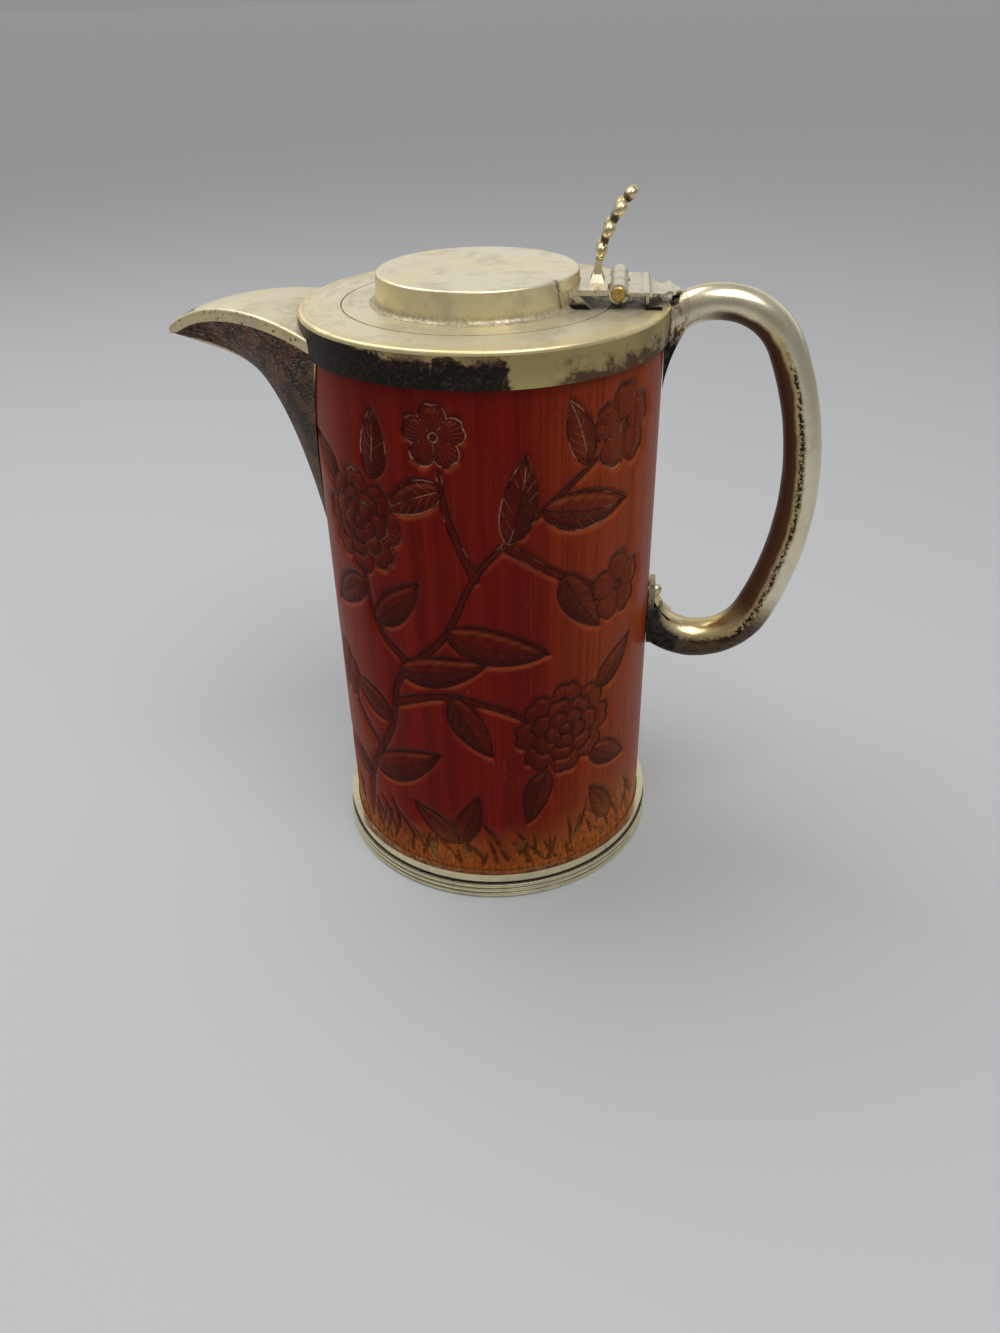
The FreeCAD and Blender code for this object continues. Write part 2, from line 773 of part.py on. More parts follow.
def shell_section(t, inset):
    """Triangle from the keel to both rims; with an inset, the channel inside it, open at the top."""
    reach, drop = bezier(keel_curve, t)
    keel = V(-body_radius - reach, 0, plate_top_z - drop)
    rim_reach, half, top, low = rim_point(t)
    middle = V(-rim_reach, 0, low - solder_gap)
    depth = middle.sub(keel).Length
    up = middle.sub(keel).normalize()
    flank = math.atan2(half, depth)
    if inset:
        keel = keel.add(up * (inset / math.sin(flank)))
        inner_depth = middle.sub(keel).Length
        half = (half - inset / math.cos(flank)) * (inner_depth + inset) / inner_depth
        middle = middle.add(up * inset)
    return Part.makePolygon([keel, middle.add(V(0, half, 0)), middle.sub(V(0, half, 0)), keel])


def steps(start, end, count):
    return [start + (end - start) * step / (count - 1) for step in range(count)]


def spout_stations():
    """Places along both curves, closer together toward the tip."""
    return [spout_root * share**spout_crowding for share in steps(0, 1, spout_section_count)]


def make_spout_shell():
    """Two flanks that meet at the keel; the very tip belongs to the cover alone."""
    stations = spout_stations()
    outside = Part.makeLoft([shell_section(t, 0) for t in stations[shell_skip_count:]], True)
    channel = Part.makeLoft([shell_section(t, spout_wall) for t in stations[channel_skip_count:]], True)
    return outside.cut(channel).cut(body_seat())


def make_spout_cover():
    cover = Part.makeLoft([cover_section(t) for t in spout_stations()], True)
    start = body_radius + pour_slot_start
    end = body_radius + pour_slot_end
    start_half = spout_half_width(pour_slot_start) - pour_slot_rim
    end_half = spout_half_width(pour_slot_end) - pour_slot_rim
    slot_outline = [
        V(-start, -start_half, 0),
        V(-start, start_half, 0),
        V(-end, end_half, 0),
        V(-end, -end_half, 0),
    ]
    slot = polygon_face(slot_outline).extrude(V(0, 0, plate_top_z + cut_reach))
    return cover.cut(slot).cut(body_seat())


# Handle


def handle_geometry():
    """Centres and turning angles of the three arcs that the middle of the tube follows."""
    top_x = body_radius - root_sink - top_turn_radius * math.cos(math.radians(root_angle))
    bottom_x = body_radius - foot_sink - bottom_turn_radius * math.cos(math.radians(foot_angle))
    top_middle = V(top_x, 0, handle_top_z - top_turn_radius)
    bottom_middle = V(bottom_x, 0, handle_bottom_z + bottom_turn_radius)
    # The bow touches both turns, so the distances between its middle and theirs are known
    to_top = bow_radius - top_turn_radius
    to_bottom = bow_radius - bottom_turn_radius
    rise = top_middle.sub(bottom_middle)
    apart = rise.Length
    along = (apart**2 + to_bottom**2 - to_top**2) / (2 * apart)
    inward = V(-rise.z, 0, rise.x) * (math.sqrt(to_bottom**2 - along**2) / apart)
    bow_middle = bottom_middle + rise * (along / apart) + inward
    top_angle = math.degrees(math.atan2(top_middle.z - bow_middle.z, top_x - bow_middle.x))
    bottom_angle = math.degrees(math.atan2(bottom_middle.z - bow_middle.z, bottom_x - bow_middle.x))
    top = (top_x, top_middle.z, top_turn_radius)
    bow = (bow_middle.x, bow_middle.z, bow_radius)
    bottom = (bottom_x, bottom_middle.z, bottom_turn_radius)
    return top, bow, bottom, top_angle, bottom_angle


def angle_at(turn, beyond):
    """How far round a turn its middle line comes to a distance beyond the bamboo, in degrees."""
    x, z, turn_radius = turn
    return math.degrees(math.acos((body_radius + beyond - x) / turn_radius))


def round_section(turn, angle, radius):
    """Circle across the tube at an angle round one of its turns."""
    x, z, turn_radius = turn
    out = V(math.cos(math.radians(angle)), 0, math.sin(math.radians(angle)))
    ahead = V(-out.z, 0, out.x)
    return Part.Wire(Part.makeCircle(radius, V(x, 0, z) + out * turn_radius, ahead))


def tube_stations():
    """Turn and angle at even steps along the tube, from its top end to its bottom end."""
    top, bow, bottom, top_angle, bottom_angle = handle_geometry()
    runs = [
        (top, angle_at(top, root_reach), top_angle),
        (bow, top_angle, bottom_angle),
        (bottom, bottom_angle, -angle_at(bottom, foot_reach)),
    ]
    lengths = [turn[2] * math.radians(start - end) for turn, start, end in runs]
    stations = []
    for distance in steps(0, sum(lengths), tube_section_count):
        run = 0
        while run < 2 and distance > lengths[run]:
            distance -= lengths[run]
            run += 1
        turn, start, end = runs[run]
        stations.append((turn, start + (end - start) * distance / lengths[run]))
    return stations


def tube_loft(thinner):
    radii = steps(tube_top_radius - thinner, tube_bottom_radius - thinner, tube_section_count)
    sections = [round_section(turn, angle, radius) for (turn, angle), radius in zip(tube_stations(), radii)]
    return Part.makeLoft(sections, True)


def make_handle_tube():
    return tube_loft(0).cut(tube_loft(tube_wall))


def flared_end(turn, start, end, radius, flare):
    """Solid end of the handle, growing a little as it runs into the body."""
    sections = []
    for share in steps(0, 1, end_section_count):
        angle = start + (end - start) * share
        sections.append(round_section(turn, angle, radius + flare * share**2))
    return Part.makeLoft(sections, True)


def make_handle_root():
    top = handle_geometry()[0]
    start_angle = angle_at(top, root_reach)
    end = flared_end(top, start_angle, angle_at(top, -root_sink), tube_top_radius, root_flare)
    inside = band_inner_radius - body_wall
    start_z = plate_top_z - root_tail_start
    end_z = plate_top_z - root_tail_length
    middle_z = (start_z + end_z) / 2
    tip = V(band_inner_radius, 0, end_z)
    side = face_of(
        [
            line(V(inside, 0, start_z), V(band_inner_radius + root_tail_depth, 0, start_z)),
            arc(
                V(band_inner_radius + root_tail_depth, 0, start_z),
                V(band_inner_radius + root_tail_middle, 0, middle_z),
                tip,
            ),
            line(tip, V(inside, 0, end_z)),
            line(V(inside, 0, end_z), V(inside, 0, start_z)),
        ]
    )
    side.translate(V(0, -root_tail_width / 2, 0))
    half = root_tail_width / 2
    front = face_of(
        [
            line(V(inside, -half, start_z), V(inside, half, start_z)),
            arc(V(inside, half, start_z), V(inside, half * root_tail_bulge, middle_z), V(inside, 0, end_z)),
            arc(V(inside, 0, end_z), V(inside, -half * root_tail_bulge, middle_z), V(inside, -half, start_z)),
        ]
    )
    tail = side.extrude(V(0, root_tail_width, 0)).common(front.extrude(V(cut_reach, 0, 0)))
    return end.fuse(tail).cut(body_seat()).removeSplitter()


def make_handle_foot():
    """Solid lower end, a leaf-shaped tongue on the bamboo and a scooped web between the two."""
    bottom = handle_geometry()[2]
    start_angle = -angle_at(bottom, foot_reach)
    end = flared_end(bottom, start_angle, -angle_at(bottom, -foot_sink), tube_bottom_radius, foot_flare)
    inside = band_inner_radius - body_wall
    base_z = handle_bottom_z + foot_tongue_base
    middle_z = handle_bottom_z + foot_tongue_middle
    tip_z = handle_bottom_z + foot_tongue_rise
    shoulder_z = (middle_z + tip_z) / 2
    half = foot_tongue_width / 2
    bulge = half * foot_tongue_bulge
    leaf = face_of(
        [
            arc(V(inside, -half, middle_z), V(inside, 0, base_z), V(inside, half, middle_z)),
            arc(V(inside, half, middle_z), V(inside, bulge, shoulder_z), V(inside, 0, tip_z)),
            arc(V(inside, 0, tip_z), V(inside, -bulge, shoulder_z), V(inside, -half, middle_z)),
        ]
    )
    tongue_radius = band_inner_radius + foot_tongue_thickness
    skin = tube(band_inner_radius, tongue_radius, base_z, tip_z)
    tongue = leaf.extrude(V(cut_reach, 0, 0)).common(skin)
    web_base_z = handle_bottom_z + foot_web_base
    web_top_z = foot_rivet_z - rivet_head_radius - seat_gap
    web_corner = V(band_inner_radius + foot_web_depth, 0, web_base_z)
    web_scoop = V(band_inner_radius + foot_web_scoop, 0, (web_base_z + web_top_z) / 2)
    web_tip = V(band_inner_radius + foot_tongue_thickness, 0, web_top_z)
    web = face_of(
        [
            line(V(inside, 0, web_base_z), web_corner),
            arc(web_corner, web_scoop, web_tip),
            line(web_tip, V(inside, 0, web_top_z)),
            line(V(inside, 0, web_top_z), V(inside, 0, web_base_z)),
        ]
    )
    web.translate(V(0, -foot_web_width / 2, 0))
    pieces = [tongue, web.extrude(V(0, foot_web_width, 0))]
    hole = rod_along_x(rivet_shank_radius + solder_gap, inside, cut_reach, foot_rivet_z)
    return end.fuse(pieces).cut(body_seat()).cut(hole).removeSplitter()


def make_foot_rivet():
    head_seat = band_inner_radius + foot_tongue_thickness + solder_gap
    head = Part.makeSphere(rivet_head_radius, V(head_seat, 0, foot_rivet_z), ALONG_X, 0, 90, 360)
    shank_end = math.sqrt(body_bore_radius**2 - rove_radius**2) - solder_gap - rove_thickness
    shank = rod_along_x(rivet_shank_radius, shank_end, head_seat, foot_rivet_z)
    return head.fuse(shank).removeSplitter()


def make_rivet_rove():
    outer_x = math.sqrt(body_bore_radius**2 - rove_radius**2) - solder_gap
    rove = rod_along_x(rove_radius, outer_x - rove_thickness, outer_x, foot_rivet_z)
    hole = rod_along_x(rivet_shank_radius + solder_gap, outer_x - rove_thickness, outer_x, foot_rivet_z)
    return rove.cut(hole)


makers = {
    "bamboo_body": make_bamboo_body,
    "base_plate": make_base_plate,
    "base_ring": make_base_ring,
    "inner_liner": make_inner_liner,
    "pour_sleeve": make_pour_sleeve,
    "collar_band": make_collar_band,
    "top_plate": make_top_plate,
    "mouth_ring": make_mouth_ring,
    "spout_shell": make_spout_shell,
    "spout_cover": make_spout_cover,
    "handle_tube": make_handle_tube,
    "handle_root": make_handle_root,
    "handle_foot": make_handle_foot,
    "foot_rivet": make_foot_rivet,
    "rivet_rove": make_rivet_rove,
    "hinge_fixed_leaf": make_hinge_fixed_leaf,
    "hinge_pin": make_hinge_pin,
    "lid_disc": make_lid_disc,
    "lid_bezel": make_lid_bezel,
    "lid_crown": make_lid_crown,
    "lid_hinge_leaf": make_lid_hinge_leaf,
    "thumbpiece": make_thumbpiece,
}

os.makedirs("parts", exist_ok=True)
for node, make in makers.items():
    shape = make()
    shape.exportStep("parts/" + node + ".step")
    print(node, "solids", len(shape.Solids), "valid", shape.isValid(), "volume", round(shape.Volume, 1))
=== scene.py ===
# %% [markdown]
# # A covered jug of carved bamboo in silver-plated mounts
# The jug is a length of thick bamboo, lacquered red-brown and carved with a flowering branch. Silver-plated
# mounts close it: a reeded base ring, a collar with a flat top plate, a beak spout, a loop handle and a
# hinged lid. The measured solids come ready-made as the frame. This lesson gives them their looks: it
# carves the bamboo, sweeps a slightly dented handle, and mixes a worn finish for each mount.

# %% Load the frame
import math

import bmesh
import bpy
import numpy as np
from mathutils import Matrix, Vector


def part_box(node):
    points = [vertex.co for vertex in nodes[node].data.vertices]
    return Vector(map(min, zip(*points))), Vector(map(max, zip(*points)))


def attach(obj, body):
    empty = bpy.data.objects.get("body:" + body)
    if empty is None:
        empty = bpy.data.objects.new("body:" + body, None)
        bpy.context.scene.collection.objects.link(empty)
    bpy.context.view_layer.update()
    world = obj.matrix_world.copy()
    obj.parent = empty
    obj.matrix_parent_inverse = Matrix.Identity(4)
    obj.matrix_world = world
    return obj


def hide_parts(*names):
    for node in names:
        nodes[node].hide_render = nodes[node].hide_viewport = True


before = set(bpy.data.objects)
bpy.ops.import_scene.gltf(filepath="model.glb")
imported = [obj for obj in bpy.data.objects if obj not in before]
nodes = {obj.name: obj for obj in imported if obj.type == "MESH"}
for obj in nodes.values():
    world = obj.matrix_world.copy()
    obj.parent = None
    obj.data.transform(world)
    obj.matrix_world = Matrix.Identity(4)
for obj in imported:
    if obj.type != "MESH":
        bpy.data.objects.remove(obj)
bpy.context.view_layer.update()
MM = 0.001

# %% [markdown]
# ## The camera
# A photograph fixes the camera if we know a few circles of the object. Here the foot, the collar and the
# lid gave its place, its aim and its focal length. A camera looks along its own -Z, so its matrix is built
# from three directions.


# %% Place the camera
def add_object(name, data):
    made = bpy.data.objects.new(name, data)
    bpy.context.scene.collection.objects.link(made)
    return made


image_width, image_height = 1000, 1333
focal_pixels = 1040
sensor = 36.0
camera_place = Vector((38.2, -297.7, 250.0)) * MM
aim_turn = math.radians(-6.96)
aim_down = math.radians(32.87)
aim_roll = math.radians(-1.41)

flat_share = math.cos(aim_down)
ahead = Vector((math.sin(aim_turn) * flat_share, math.cos(aim_turn) * flat_share, -math.sin(aim_down)))
level = Vector((math.cos(aim_turn), -math.sin(aim_turn), 0))
upright = level.cross(ahead)
right = level * math.cos(aim_roll) + upright * math.sin(aim_roll)
up = right.cross(ahead)

camera_data = bpy.data.cameras.new("photo_camera")
camera_data.sensor_fit = "VERTICAL"
camera_data.sensor_height = sensor
camera_data.sensor_width = sensor * image_width / image_height
camera_data.lens = focal_pixels / image_height * sensor
camera_data.clip_start = 0.01
camera = add_object("photo_camera", camera_data)
turn = Matrix((right, up, -ahead)).transposed().to_4x4()
camera.matrix_world = Matrix.Translation(camera_place) @ turn
bpy.context.scene.camera = camera
print("camera with a lens of", round(camera_data.lens, 2), "mm")

# %% [markdown]
# ## Wires: shader maths in plain Python
# A finish is a network of nodes. Written out node by node it is hard to read, so one small class wraps a
# socket and lets Python's own operators add the Math nodes. Its `node` method makes any other kind of node:
# the settings first, and then the values or links of its inputs.


# %% Make the wires
class Wire:
    """A node's socket that Python's operators can reckon with."""

    def __init__(self, tree, socket):
        self.tree = tree
        self.socket = socket

    @staticmethod
    def find(sockets, key):
        if isinstance(key, int):
            return sockets[key]
        return next((s for s in sockets if s.identifier == key), None) or sockets[key]

    @classmethod
    def node(cls, tree, kind, settings=None, inputs=None, output=0):
        made = tree.nodes.new(kind)
        for key, value in (settings or {}).items():
            if key == "stops":
                for stop in range(len(value) - 2):
                    made.color_ramp.elements.new(0.5)
                for element, (position, colour) in zip(made.color_ramp.elements, value):
                    element.position = position
                    element.color = (*colour, 1)
            else:
                setattr(made, key, value)
        for key, value in (inputs or {}).items():
            socket = cls.find(made.inputs, key)
            if isinstance(value, Wire):
                tree.links.new(value.socket, socket)
            else:
                socket.default_value = value
        return cls(tree, cls.find(made.outputs, output))

    def maths(self, operation, *others, clamp=False):
        settings = {"operation": operation, "use_clamp": clamp}
        return Wire.node(self.tree, "ShaderNodeMath", settings, dict(enumerate((self, *others))))

    def __add__(self, other):
        return self.maths("ADD", other)

    def __sub__(self, other):
        return self.maths("SUBTRACT", other)

    def __rsub__(self, other):
        return self.maths("MULTIPLY", -1) + other

    def __mul__(self, other):
        return self.maths("MULTIPLY", other)

    def __truediv__(self, other):
        return self.maths("DIVIDE", other)

    def __pow__(self, other):
        return self.maths("POWER", other)

    def __abs__(self):
        return self.maths("ABSOLUTE")

    __radd__ = __add__
    __rmul__ = __mul__

    def clip(self):
        return self.maths("ADD", 0, clamp=True)

    def ramp(self, low, high):
        """0 below low, 1 above high and smooth between; falls instead where low is the larger."""
        inputs = {"Value": self, "From Min": low, "From Max": high}
        settings = {"interpolation_type": "SMOOTHSTEP"}
        return Wire.node(self.tree, "ShaderNodeMapRange", settings, inputs)

    def hump(self, middle, half_width):
        """1 at the middle, falling smoothly to 0 a half-width away on both sides."""
        return abs(self - middle).ramp(half_width, 0)

    def max(self, other):
        return self.maths("MAXIMUM", other)


print("wires ready")

# %% [markdown]
# ## Helpers that the finishes share
# Wear is never even, so every finish mixes colours by noise. These functions stretch a place, read a noise
# there, take a vector apart or join one, and mix two colours.


# %% Make the helpers
def stretch(place, scales):
    settings = {"operation": "MULTIPLY"}
    return Wire.node(place.tree, "ShaderNodeVectorMath", settings, {0: place, 1: scales})


def noise(place, scale, detail=3.0, roughness=0.55, twist=0.0):
    inputs = {"Vector": place, "Scale": scale, "Detail": detail, "Roughness": roughness, "Distortion": twist}
    return Wire.node(place.tree, "ShaderNodeTexNoise", None, inputs)


def parts_of(vector):
    return [Wire.node(vector.tree, "ShaderNodeSeparateXYZ", None, {0: vector}, axis) for axis in range(3)]


def joined(x, y, z):
    return Wire.node(x.tree, "ShaderNodeCombineXYZ", None, {0: x, 1: y, 2: z})


def mix(share, first, second):
    """A colour between two, as a share of the second; each colour is a wire or three numbers."""

    def paint(colour):
        return colour if isinstance(colour, Wire) else (*colour, 1)

    inputs = {"Factor_Float": share, "A_Color": paint(first), "B_Color": paint(second)}
    return Wire.node(share.tree, "ShaderNodeMix", {"data_type": "RGBA"}, inputs, "Result_Color")


print("helpers ready")

# %% [markdown]
# ## A finish in the making
# Every finish starts from where a point lies on the jug. The frame's objects sit at the origin, so Object
# coordinates are the jug's own. They are turned into millimetres, because a pit of half a millimetre is
# easier to picture than one of 0.0005 m.


# %% Write the finish class
class Finish:
    """A material in the making, with its place in millimetres and its shader."""

    def __init__(self, name):
        self.material = bpy.data.materials.new(name)
        self.material.use_nodes = True
        self.tree = self.material.node_tree
        self.shader = self.tree.nodes["Principled BSDF"]
        metres = Wire.node(self.tree, "ShaderNodeTexCoord", None, None, "Object")
        self.place = stretch(metres, (1 / MM, 1 / MM, 1 / MM))
        self.x, self.y, self.z = parts_of(self.place)
        facing = Wire.node(self.tree, "ShaderNodeTexCoord", None, None, "Normal")
        self.facing = parts_of(facing)

    def around(self, centre_x=0.0):
        """Distance from an upright axis and the angle round it, in millimetres and degrees."""
        x = self.x - centre_x
        distance = (x * x + self.y * self.y) ** 0.5
        return distance, self.y.maths("ARCTAN2", x) * math.degrees(1)

    def even(self, value):
        """A mask with one value all over."""
        return Wire.node(self.tree, "ShaderNodeMath", {"operation": "ADD"}, {0: value, 1: 0.0})

    def attribute(self, name):
        return Wire.node(self.tree, "ShaderNodeAttribute", {"attribute_name": name}, None, "Vector")

    def set(self, **inputs):
        """Sets the shader's sockets; an underscore stands for a space. A height in mm becomes bump."""
        height = inputs.pop("height", None)
        if height is not None:
            bump_inputs = {"Height": height * MM, "Distance": 1.0, "Strength": 1.0}
            inputs["Normal"] = Wire.node(self.tree, "ShaderNodeBump", None, bump_inputs)
        for key, value in inputs.items():
            socket = self.shader.inputs[key.replace("_", " ")]
            if isinstance(value, Wire):
                self.tree.links.new(value.socket, socket)
            else:
                socket.default_value = value
        return self.material


def dress(material, *names):
    for name in names:
        for slot in nodes[name].material_slots:
            slot.material = material
    print(material.name, "dresses", ", ".join(names))


print("finish class ready")

# %% [markdown]
# ## Floor
# The jug stands on a pale, plain floor, because the mounts mirror it from below. The Standard view keeps
# the deep red of the lacquer, which a filmic view would wash out.

# %% Lay the floor
bpy.context.scene.view_settings.view_transform = "Standard"
floor_half = 60.0
floor_mesh = bpy.data.meshes.new("floor")
floor_corners = [(x * floor_half, y * floor_half, 0) for x, y in ((-1, -1), (1, -1), (1, 1), (-1, 1))]
floor_mesh.from_pydata(floor_corners, [], [(0, 1, 2, 3)])
floor = add_object("floor", floor_mesh)
floor_paint = Finish("pale_floor")
floor_mesh.materials.append(floor_paint.set(Base_Color=(0.52, 0.53, 0.55, 1), Roughness=0.6))
print("floor of", 2 * floor_half, "m")

# %% [markdown]
# ## Sky
# Plated metal shows little colour of its own: it shows what is round it. An even white sky would leave it
# flat, so this one is bright overhead and dimmer toward the horizon, with a broad glow behind the jug. The
# flat top mirrors that glow to the camera, which is why it looks so pale.

# %% Light the sky
world = bpy.data.worlds.new("studio")
bpy.context.scene.world = world
world.use_nodes = True
sky_tree = world.node_tree
sky_direction = Wire.node(sky_tree, "ShaderNodeTexCoord", None, None, "Generated")
sky_back, sky_rise = parts_of(sky_direction)[1:]
sky_stops = [
    (0.0, (0.57, 0.57, 0.58)),
    (0.03, (0.56, 0.56, 0.57)),
    (0.12, (0.46, 0.46, 0.47)),
    (0.40, (0.56, 0.56, 0.57)),
    (1.0, (1.0, 1.0, 0.99)),
]
sky_colour = Wire.node(sky_tree, "ShaderNodeValToRGB", {"stops": sky_stops}, {0: sky_rise})
glow = sky_back.ramp(0.1, 0.7) * sky_rise.ramp(0.05, 0.13) * sky_rise.ramp(0.85, 0.45)
glow_colour = (1.48, 1.46, 1.40)
sky_colour = mix(glow, sky_colour, glow_colour)
sky_strength = 0.50
background = sky_tree.nodes["Background"]
sky_tree.links.new(sky_colour.socket, background.inputs["Color"])
background.inputs["Strength"].default_value = sky_strength
print("sky with", len(sky_stops), "stops and a glow")

# %% [markdown]
# ## Lamps
# Two soft square lamps high above, one behind the spout and one in front of the handle, give the carving
# its shadows and the mounts their highlights. Smaller lamps would make the shadows hard.


# %% Hang the lamps
def soft_light(name, place, size, power):
    data = bpy.data.lights.new(name, "AREA")
    data.shape = "RECTANGLE"
    data.size, data.size_y = size, size
    data.energy = power
    data.color = (1.0, 0.99, 0.97)
    lamp = add_object(name, data)
    lamp.location = place
    jug_middle = Vector((0, 0, 0.1))
    lamp.rotation_euler = (jug_middle - Vector(place)).to_track_quat("-Z", "Y").to_euler()
    print(name, "of", power, "W")


soft_light("key_light", (-0.45, 0.20, 0.95), 0.7, 4.0)
soft_light("front_light", (0.30, -0.40, 1.05), 0.6, 4.8)

# %% [markdown]
# ## Carving the bamboo
# The real body is carved in sunk relief: the carver cuts round each leaf and petal, then hollows its
# inside, and the bark between them keeps its full height. Modelling every leaf as a separate shell would
# raise it instead. So the outside is a fine grid of points, rolled round the culm, and each point is pushed
# in by the depth of the carving there. The design is drawn flat first: `across` runs round the body from
# its front, `height` up from the foot.

# %% Lay out the grid
body_low, body_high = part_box("bamboo_body")
body_radius = body_high.y / MM
body_bottom, body_top = body_low.z / MM, body_high.z / MM
ring_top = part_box("base_ring")[1].z / MM
collar_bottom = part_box("collar_band")[0].z / MM
quarter = math.pi / 2 * body_radius
carved_half = 70.0
fine_step, back_step, plain_step, hidden_step = 0.64, 1.0, 2.4, 2.0


def run(start, end, step):
    return np.linspace(start, end, max(2, round((end - start) / step)), endpoint=False)


grid_columns = np.concatenate(
    [
        run(-quarter, -carved_half, plain_step),
        run(-carved_half, carved_half, fine_step),
        run(carved_half, 2 * quarter - carved_half, plain_step),
        run(2 * quarter - carved_half, 2 * quarter + carved_half, back_step),
        run(2 * quarter + carved_half, 3 * quarter, plain_step),
    ]
)
grid_rows = np.concatenate(
    [
        run(body_bottom, ring_top, hidden_step),
        run(ring_top, collar_bottom, fine_step),
        run(collar_bottom, body_top, hidden_step),
        [body_top],
    ]
)
across, height = np.meshgrid(grid_columns, grid_rows)
print("grid of", len(grid_rows), "rows and", len(grid_columns), "columns")

# %% [markdown]
# ## The carver's knife
# Each motif is a distance: negative inside its outline and positive outside. From that one number come the
# groove round it and the slope inside. The distances are also kept on the points, so that the finish can
# draw hair-fine outlines and veins between them. Three layers take turns, so that a leaf over a leaf keeps
# both outlines.


# %% Write the knife
def bell(distance, width):
    return np.exp(-((distance / width) ** 2))


class Carving:
    """Depth of the carving at every grid point, and the distances that the finish draws lines from."""

    far = 6.0
    dip_depth, dip_width = 0.18, 2.2
    shoulder_depth, shoulder_width = 0.30, 1.3
    bevel = 0.9

    def __init__(self, shape):
        self.depth = np.zeros(shape)
        self.edges = [np.full(shape, self.far) for layer in range(3)]
        self.rib = np.full(shape, self.far)
        self.phase = np.full(shape, 0.5)
        self.fill = np.zeros(shape)
        self.tone = np.zeros(shape)
        self.count = 0

    def cut(self, distance, hollow, tone, rib=None, phase=None, groove=0.62, groove_half=0.66, swell=1.0):
        """Cuts a motif: a groove along its outline, a soft dip to both sides of it and the hollow inside."""
        inside = distance < 0
        dip = self.dip_depth * swell * bell(distance, self.dip_width)
        trench = -groove * bell(distance, groove_half) - dip
        rounded = hollow - self.shoulder_depth * swell * bell(distance, self.shoulder_width)
        inner = np.minimum(trench + rounded * np.clip(-distance / self.bevel, 0, 1), 0)
        self.depth = np.where(inside, inner, np.minimum(self.depth, trench))
        for layer in range(3):
            if layer == self.count % 3:
                self.edges[layer] = np.minimum(self.edges[layer], distance)
            else:
                self.edges[layer] = np.where(inside, self.far, self.edges[layer])
        self.rib = np.where(inside, self.far if rib is None else rib, self.rib)
        self.phase = np.where(inside, 0.5 if phase is None else phase, self.phase)
        self.fill = np.maximum(self.fill * (distance > -0.3), np.clip(0.5 - distance / 0.6, 0, 1))
        self.tone = np.where(inside, tone, self.tone)
        self.count += 1


carving = Carving(across.shape)
print("knife ready for", carving.depth.size, "points")

# %% [markdown]
# ## Leaves and blossoms
# A leaf is a width that changes along a bent rib, and a blossom is rings of petals, each a wave round a
# circle. Such formulas give the distance at all the points at once, where outlines drawn by hand would have
# to be searched.


# %% Write the leaf and the blossom
def cut_leaf(carving, base, heading, length, width, curl=0.12, tone=0.6, veins=7.0):
    """A pointed leaf with a rib and side veins, widest at two fifths of its length."""
    cosine, sine = math.cos(math.radians(heading)), math.sin(math.radians(heading))
    along = ((across - base[0]) * cosine + (height - base[1]) * sine) / length
    beside = (height - base[1]) * cosine - (across - base[0]) * sine - curl * length * along * np.abs(along)
    share = np.clip(along, 1e-4, 1 - 1e-4)
    blunt, taper, peak = 0.62, 0.95, 0.349
    half = width / 2 * share**blunt * (1 - share) ** taper / peak
    past_end = np.maximum(np.maximum(-along, along - 1), 0) * length
    distance = np.hypot(np.maximum(np.abs(beside) - half, 0), past_end) + np.minimum(np.abs(beside) - half, 0)
    spread = np.clip(np.abs(beside) / np.maximum(half, 0.2), 0, 1.2)
    phase = along * veins - 1.5 * spread
    hollow = -0.1 - 0.26 * spread**2 - 0.2 * bell(beside, 0.6) - 0.06 * np.cos(2 * np.pi * phase)
    broad_leaf = 7.0
    carving.cut(distance, hollow, tone, beside, phase, swell=min(1, width / broad_leaf))


def cut_petals(carving, centre, radius, count, turn, tone):
    """One ring of notched petals, hollowed toward their seams."""
    x, z = across - centre[0], height - centre[1]
    reach = np.hypot(x, z)
    petal_half = math.pi / count
    valley = 0.8 * math.cos(petal_half)
    angle = np.mod(np.arctan2(z, x) - math.radians(turn) + petal_half, 2 * petal_half) - petal_half
    rim = valley + (1 - valley) * np.maximum(np.cos(angle * math.pi / 2 / petal_half), 0) ** 0.6
    rim = radius * (rim - 0.07 * bell(angle / petal_half, 0.2))
    seam = reach * np.sin(petal_half - np.abs(angle))
    hollow = -0.14 - 0.2 * (1 - np.clip(reach / radius, 0, 1)) - 0.26 * bell(seam, 0.5)
    phase = angle / petal_half * 3.5 + 0.5
    carving.cut((reach - rim) * 0.85, hollow, tone, np.minimum(seam, 4), phase)


def cut_blossom(carving, centre, radius, rings, tone):
    """Rings of petals, each given as a count and a share of the radius, round a small button."""
    for number, (count, share) in enumerate(rings):
        cut_petals(carving, centre, radius * share, count, 90 + 17 * number, tone + 0.12 * number)
    button = np.hypot(across - centre[0], height - centre[1]) - 0.14 * radius
    carving.cut(button, np.full(across.shape, -0.05), 0.9, None, None, groove=0.6)


print("leaf and blossom ready")

# %% [markdown]
# ## Stems
# A stem runs through a few places. Straight pieces would show corners, so a cubic goes smoothly through the
# places, and the nearest short piece then gives the distance. The half-width shrinks on the way to the tip.


# %% Write the stem
def smooth_path(points, steps=9):
    """Points on a smooth line through the given ones."""
    points = np.array([points[0], *points, points[-1]], float)
    path = []
    for first, second, third, fourth in zip(points, points[1:], points[2:], points[3:]):
        for t in np.linspace(0, 1, steps, endpoint=False):
            bend = 2 * second + (third - first) * t + (2 * first - 5 * second + 4 * third - fourth) * t**2
            path.append((bend + (3 * second - first - 3 * third + fourth) * t**3) / 2)
    return np.array([*path, points[-1]])


